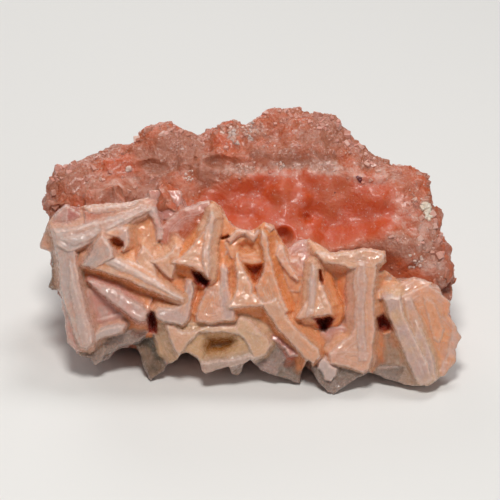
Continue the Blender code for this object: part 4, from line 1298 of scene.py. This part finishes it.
def grown_relief(spots, shape):
    """The relief with its wobble, skin, growth lines and hollow colours, which paint shade into the places
    lower than their neighbourhood.
    """
    flat = np.column_stack([spots, np.zeros(len(spots))])
    height, looks = relief_looks(spots + noise_shifts(flat, RELIEF_WOBBLE, RELIEF_SEED)[:, :2])
    skin = sum(noise_values(flat, closeness, start) * size for closeness, size, start in RELIEF_SKIN)
    closeness, size, start = GROWTH_WAVER
    steps = looks["inset"] / GROWTH_STEP + size * noise_values(flat, closeness, start)
    part = steps - np.floor(steps)
    ripple = smooth_step(0.35, 1.0, part) - part
    height = height + skin + ripple * np.where(looks["inset"] > 0.0, *GROWTH_HEIGHTS)
    table = height.reshape(shape)
    around = neighbourhood(table, int(SHADE_HOLLOW_ROUND / RELIEF_CELL))
    # Painted shade: places lower than their neighbourhood go towards the hollow colours.
    sunk = np.clip((around - table) / SHADE_HOLLOW_FALL, 0.0, 1.0).ravel()
    looks["depth"] = np.clip(np.maximum(looks["depth"], sunk) + SHADE_HOLLOW_BOOST * sunk, 0.0, 1.0)
    return height, looks


def whole_cells(kept):
    """Drops cells that meet others only at a corner, so that the relief's edge never crosses itself."""
    while True:
        one = kept[:-1, :-1]
        two = kept[1:, :-1]
        three = kept[:-1, 1:]
        four = kept[1:, 1:]
        crossed = (one & four & ~two & ~three) | (~one & ~four & two & three)
        if not crossed.any():
            return kept
        for shift_a, shift_b in ((0, 0), (1, 0), (0, 1), (1, 1)):
            part = kept[shift_a:shift_a + crossed.shape[0], shift_b:shift_b + crossed.shape[1]]
            part &= ~crossed


def relief_net(height, shape):
    """The relief's cells that stand clear of its base, and the edges round them."""
    high = height.reshape(shape) > RELIEF_BASE + RELIEF_CLEARANCE
    kept = whole_cells(high[:-1, :-1] & high[1:, :-1] & high[:-1, 1:] & high[1:, 1:])
    index = np.arange(height.size).reshape(shape)
    cells = np.stack([index[:-1, :-1], index[1:, :-1], index[1:, 1:], index[:-1, 1:]], axis=-1)[kept]
    both = set(zip(cells.ravel().tolist(), np.roll(cells, -1, axis=1).ravel().tolist()))
    border = sorted((start, end) for start, end in both if (end, start) not in both)
    return cells, border


def flat_back(border, spots):
    """Triangles that close the relief's back, from its border."""
    bm = bmesh.new()
    numbers = sorted({number for edge in border for number in edge})
    verts = {number: bm.verts.new((*spots[number], 0.0)) for number in numbers}
    edges = [bm.edges.new((verts[start], verts[end])) for start, end in border]
    bmesh.ops.triangle_fill(bm, edges=edges, use_beauty=False, normal=(0.0, 0.0, -1.0))
    back = {vert: number for number, vert in verts.items()}
    faces = []
    for face in bm.faces:
        loop = [back[vert] for vert in face.verts]
        faces.append(loop if face.normal.z < 0.0 else loop[::-1])
    bm.free()
    return faces


def along_rim(border, order):
    """Which rim point comes before each one, and which comes after it."""
    place = {number: index for index, number in enumerate(order)}
    before = np.zeros(len(order), int)
    after = np.zeros(len(order), int)
    for start, end in border:
        after[place[start]] = place[end]
        before[place[end]] = place[start]
    return before, after


def evened(table, before, after, passes):
    """Values evened out along the rim."""
    for _ in range(passes):
        table = 0.5 * table + 0.25 * (table[before] + table[after])
    return table


def wall_rows(rim, looks, before, after):
    """Rings of points behind the rim, which narrow and turn lumpy, with each ring's looks."""
    middle = np.array(WALL_MIDDLE)
    outline, out = rim[:, :2], rim[:, 2]
    rings = []
    for row in range(1, WALL_ROWS + 1):
        share = row / WALL_ROWS
        outline = evened(outline, before, after, WALL_EVENING)
        out = evened(out, before, after, WALL_EVENING)
        looks = {name: evened(table, before, after, WALL_EVENING) for name, table in looks.items()}
        placed = middle + (outline - middle) * (1.0 - WALL_NARROWING * share ** WALL_CURVE)
        ring = np.column_stack([placed, out + (WALL_END - out) * share])
        ring = ring + noise_shifts(ring, WALL_LUMPS, WALL_SEED) * min(1.0, row / WALL_LUMPS_FROM)
        shown = dict(looks)
        shown["inset"] = looks["inset"] + LINE_DROP * (out - WALL_END) * share
        shown["clear"] = looks["clear"] * (row <= CLEAR_ROWS)
        for name, under in WALL_TINTS:
            shown[name] = looks[name] + (np.array(COLOURS[under]) - looks[name]) * min(1.0, WALL_CRUST * row)
        rings.append((ring, shown))
    return rings


def make_relief():
    """The crystal front: pale flat-topped ridges, webs that sag between them, and hollows coloured darker and
    redder, partly as painted shade.
    """
    shape = tuple(int((high - low) / RELIEF_CELL) + 1 for low, high in RELIEF_SPAN)
    lines = (np.linspace(*ends, count) for ends, count in zip(RELIEF_SPAN, shape))
    spots = np.stack(np.meshgrid(*lines, indexing="ij"), axis=-1).reshape(-1, 2)
    height, looks = grown_relief(spots, shape)
    cells, border = relief_net(height, shape)
    order = sorted({number for edge in border for number in edge})
    before, after = along_rim(border, order)
    front = np.column_stack([spots, height])
    front[order, :2] = evened(spots[order], before, after, RIM_EVENING)
    rings = wall_rows(front[order], {name: table[order] for name, table in looks.items()}, before, after)

    faces = cells.tolist()
    upper = {number: number for number in order}
    for row in range(WALL_ROWS):
        first = len(spots) + row * len(order)
        lower = {number: first + place for place, number in enumerate(order)}
        faces += [(upper[end], upper[start], lower[start], lower[end]) for start, end in border]
        upper = lower
    faces += [[upper[number] for number in loop] for loop in flat_back(border, spots)]

    used = np.array(sorted({number for face in faces for number in face}))
    points = np.concatenate([front] + [ring for ring, _ in rings])[used]
    renumber = np.zeros(used.max() + 1, int)
    renumber[used] = np.arange(len(used))
    faces = [tuple(renumber[list(face)]) for face in faces]
    values = {name: np.concatenate([table] + [shown[name] for _, shown in rings])[used]
              for name, table in looks.items()}
    clear = values.pop("clear")
    indices = [int(clear[list(face)].mean() > 0.5) for face in faces]
    materials = [relief_look("hopper_salt", 0.5, 0.0), relief_look("smoky_salt", 0.12, 0.35)]
    new_piece("crystal_front", points, faces, materials, values, material_index=indices)


def make_floor():
    """A plain pale floor just under the specimen."""
    mesh = bpy.data.meshes.new("floor")
    corners = [(x * FLOOR_HALF, y * FLOOR_HALF, 0.0) for x, y in ((-1, -1), (1, -1), (1, 1), (-1, 1))]
    mesh.from_pydata(corners, [], [(0, 1, 2, 3)])
    look = Look("studio_floor")
    look.feed(look.shader, {"Base Color": (*COLOURS["floor"], 1.0), "Roughness": 0.7})
    mesh.materials.append(look.material)
    floor = link("floor", mesh)
    floor.location.z = -FLOOR_DROP
    floor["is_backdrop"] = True


def turn_to(thing, way):
    """Points a camera or a light along a direction."""
    thing.rotation_mode = "QUATERNION"
    thing.rotation_quaternion = Vector(way).to_track_quat("-Z", "Y")


def make_camera():
    """The photograph's view: square to the leaning front, with the specimen's width in the frame."""
    data = bpy.data.cameras.new("camera")
    data.sensor_width = SENSOR
    data.lens = SENSOR * (VIEW_DISTANCE - SUBJECT_OUT) / FRAME_WIDTH
    data.clip_start, data.clip_end = CLIP_RANGE
    camera = link("camera", data)
    camera.location = to_world((*VIEW_MIDDLE, VIEW_DISTANCE))
    turn_to(camera, -lean_rows()[2])
    bpy.context.scene.camera = camera


def make_lights():
    """Soft round lamps, each a name, a place, a size, a power and a colour, and a dim even sky."""
    for name, spot, size, power, shade in LIGHTS:
        data = bpy.data.lights.new(name, "AREA")
        data.shape = "DISK"
        data.size = size
        data.energy = power
        data.color = shade
        light = link(name, data)
        light.location = spot
        turn_to(light, Vector(LIGHT_AIM) - Vector(spot))
    world = bpy.data.worlds.new("studio")
    world.use_nodes = True
    sky = world.node_tree.nodes["Background"]
    sky.inputs["Color"].default_value = WORLD_COLOUR
    sky.inputs["Strength"].default_value = WORLD_STRENGTH
    bpy.context.scene.world = world
    bpy.context.scene.view_settings.view_transform = "Standard"


make_camera()
make_floor()
make_lights()
granular = mound_look()
mound_points, mound_directions, mound_smooth, mound_frosted = make_mound(granular)
make_crust(mound_points, mound_directions, mound_smooth, mound_frosted)
make_lumps(mound_points, mound_directions)
make_edge_cubes(granular)
make_back_cubes(granular)
make_relief()
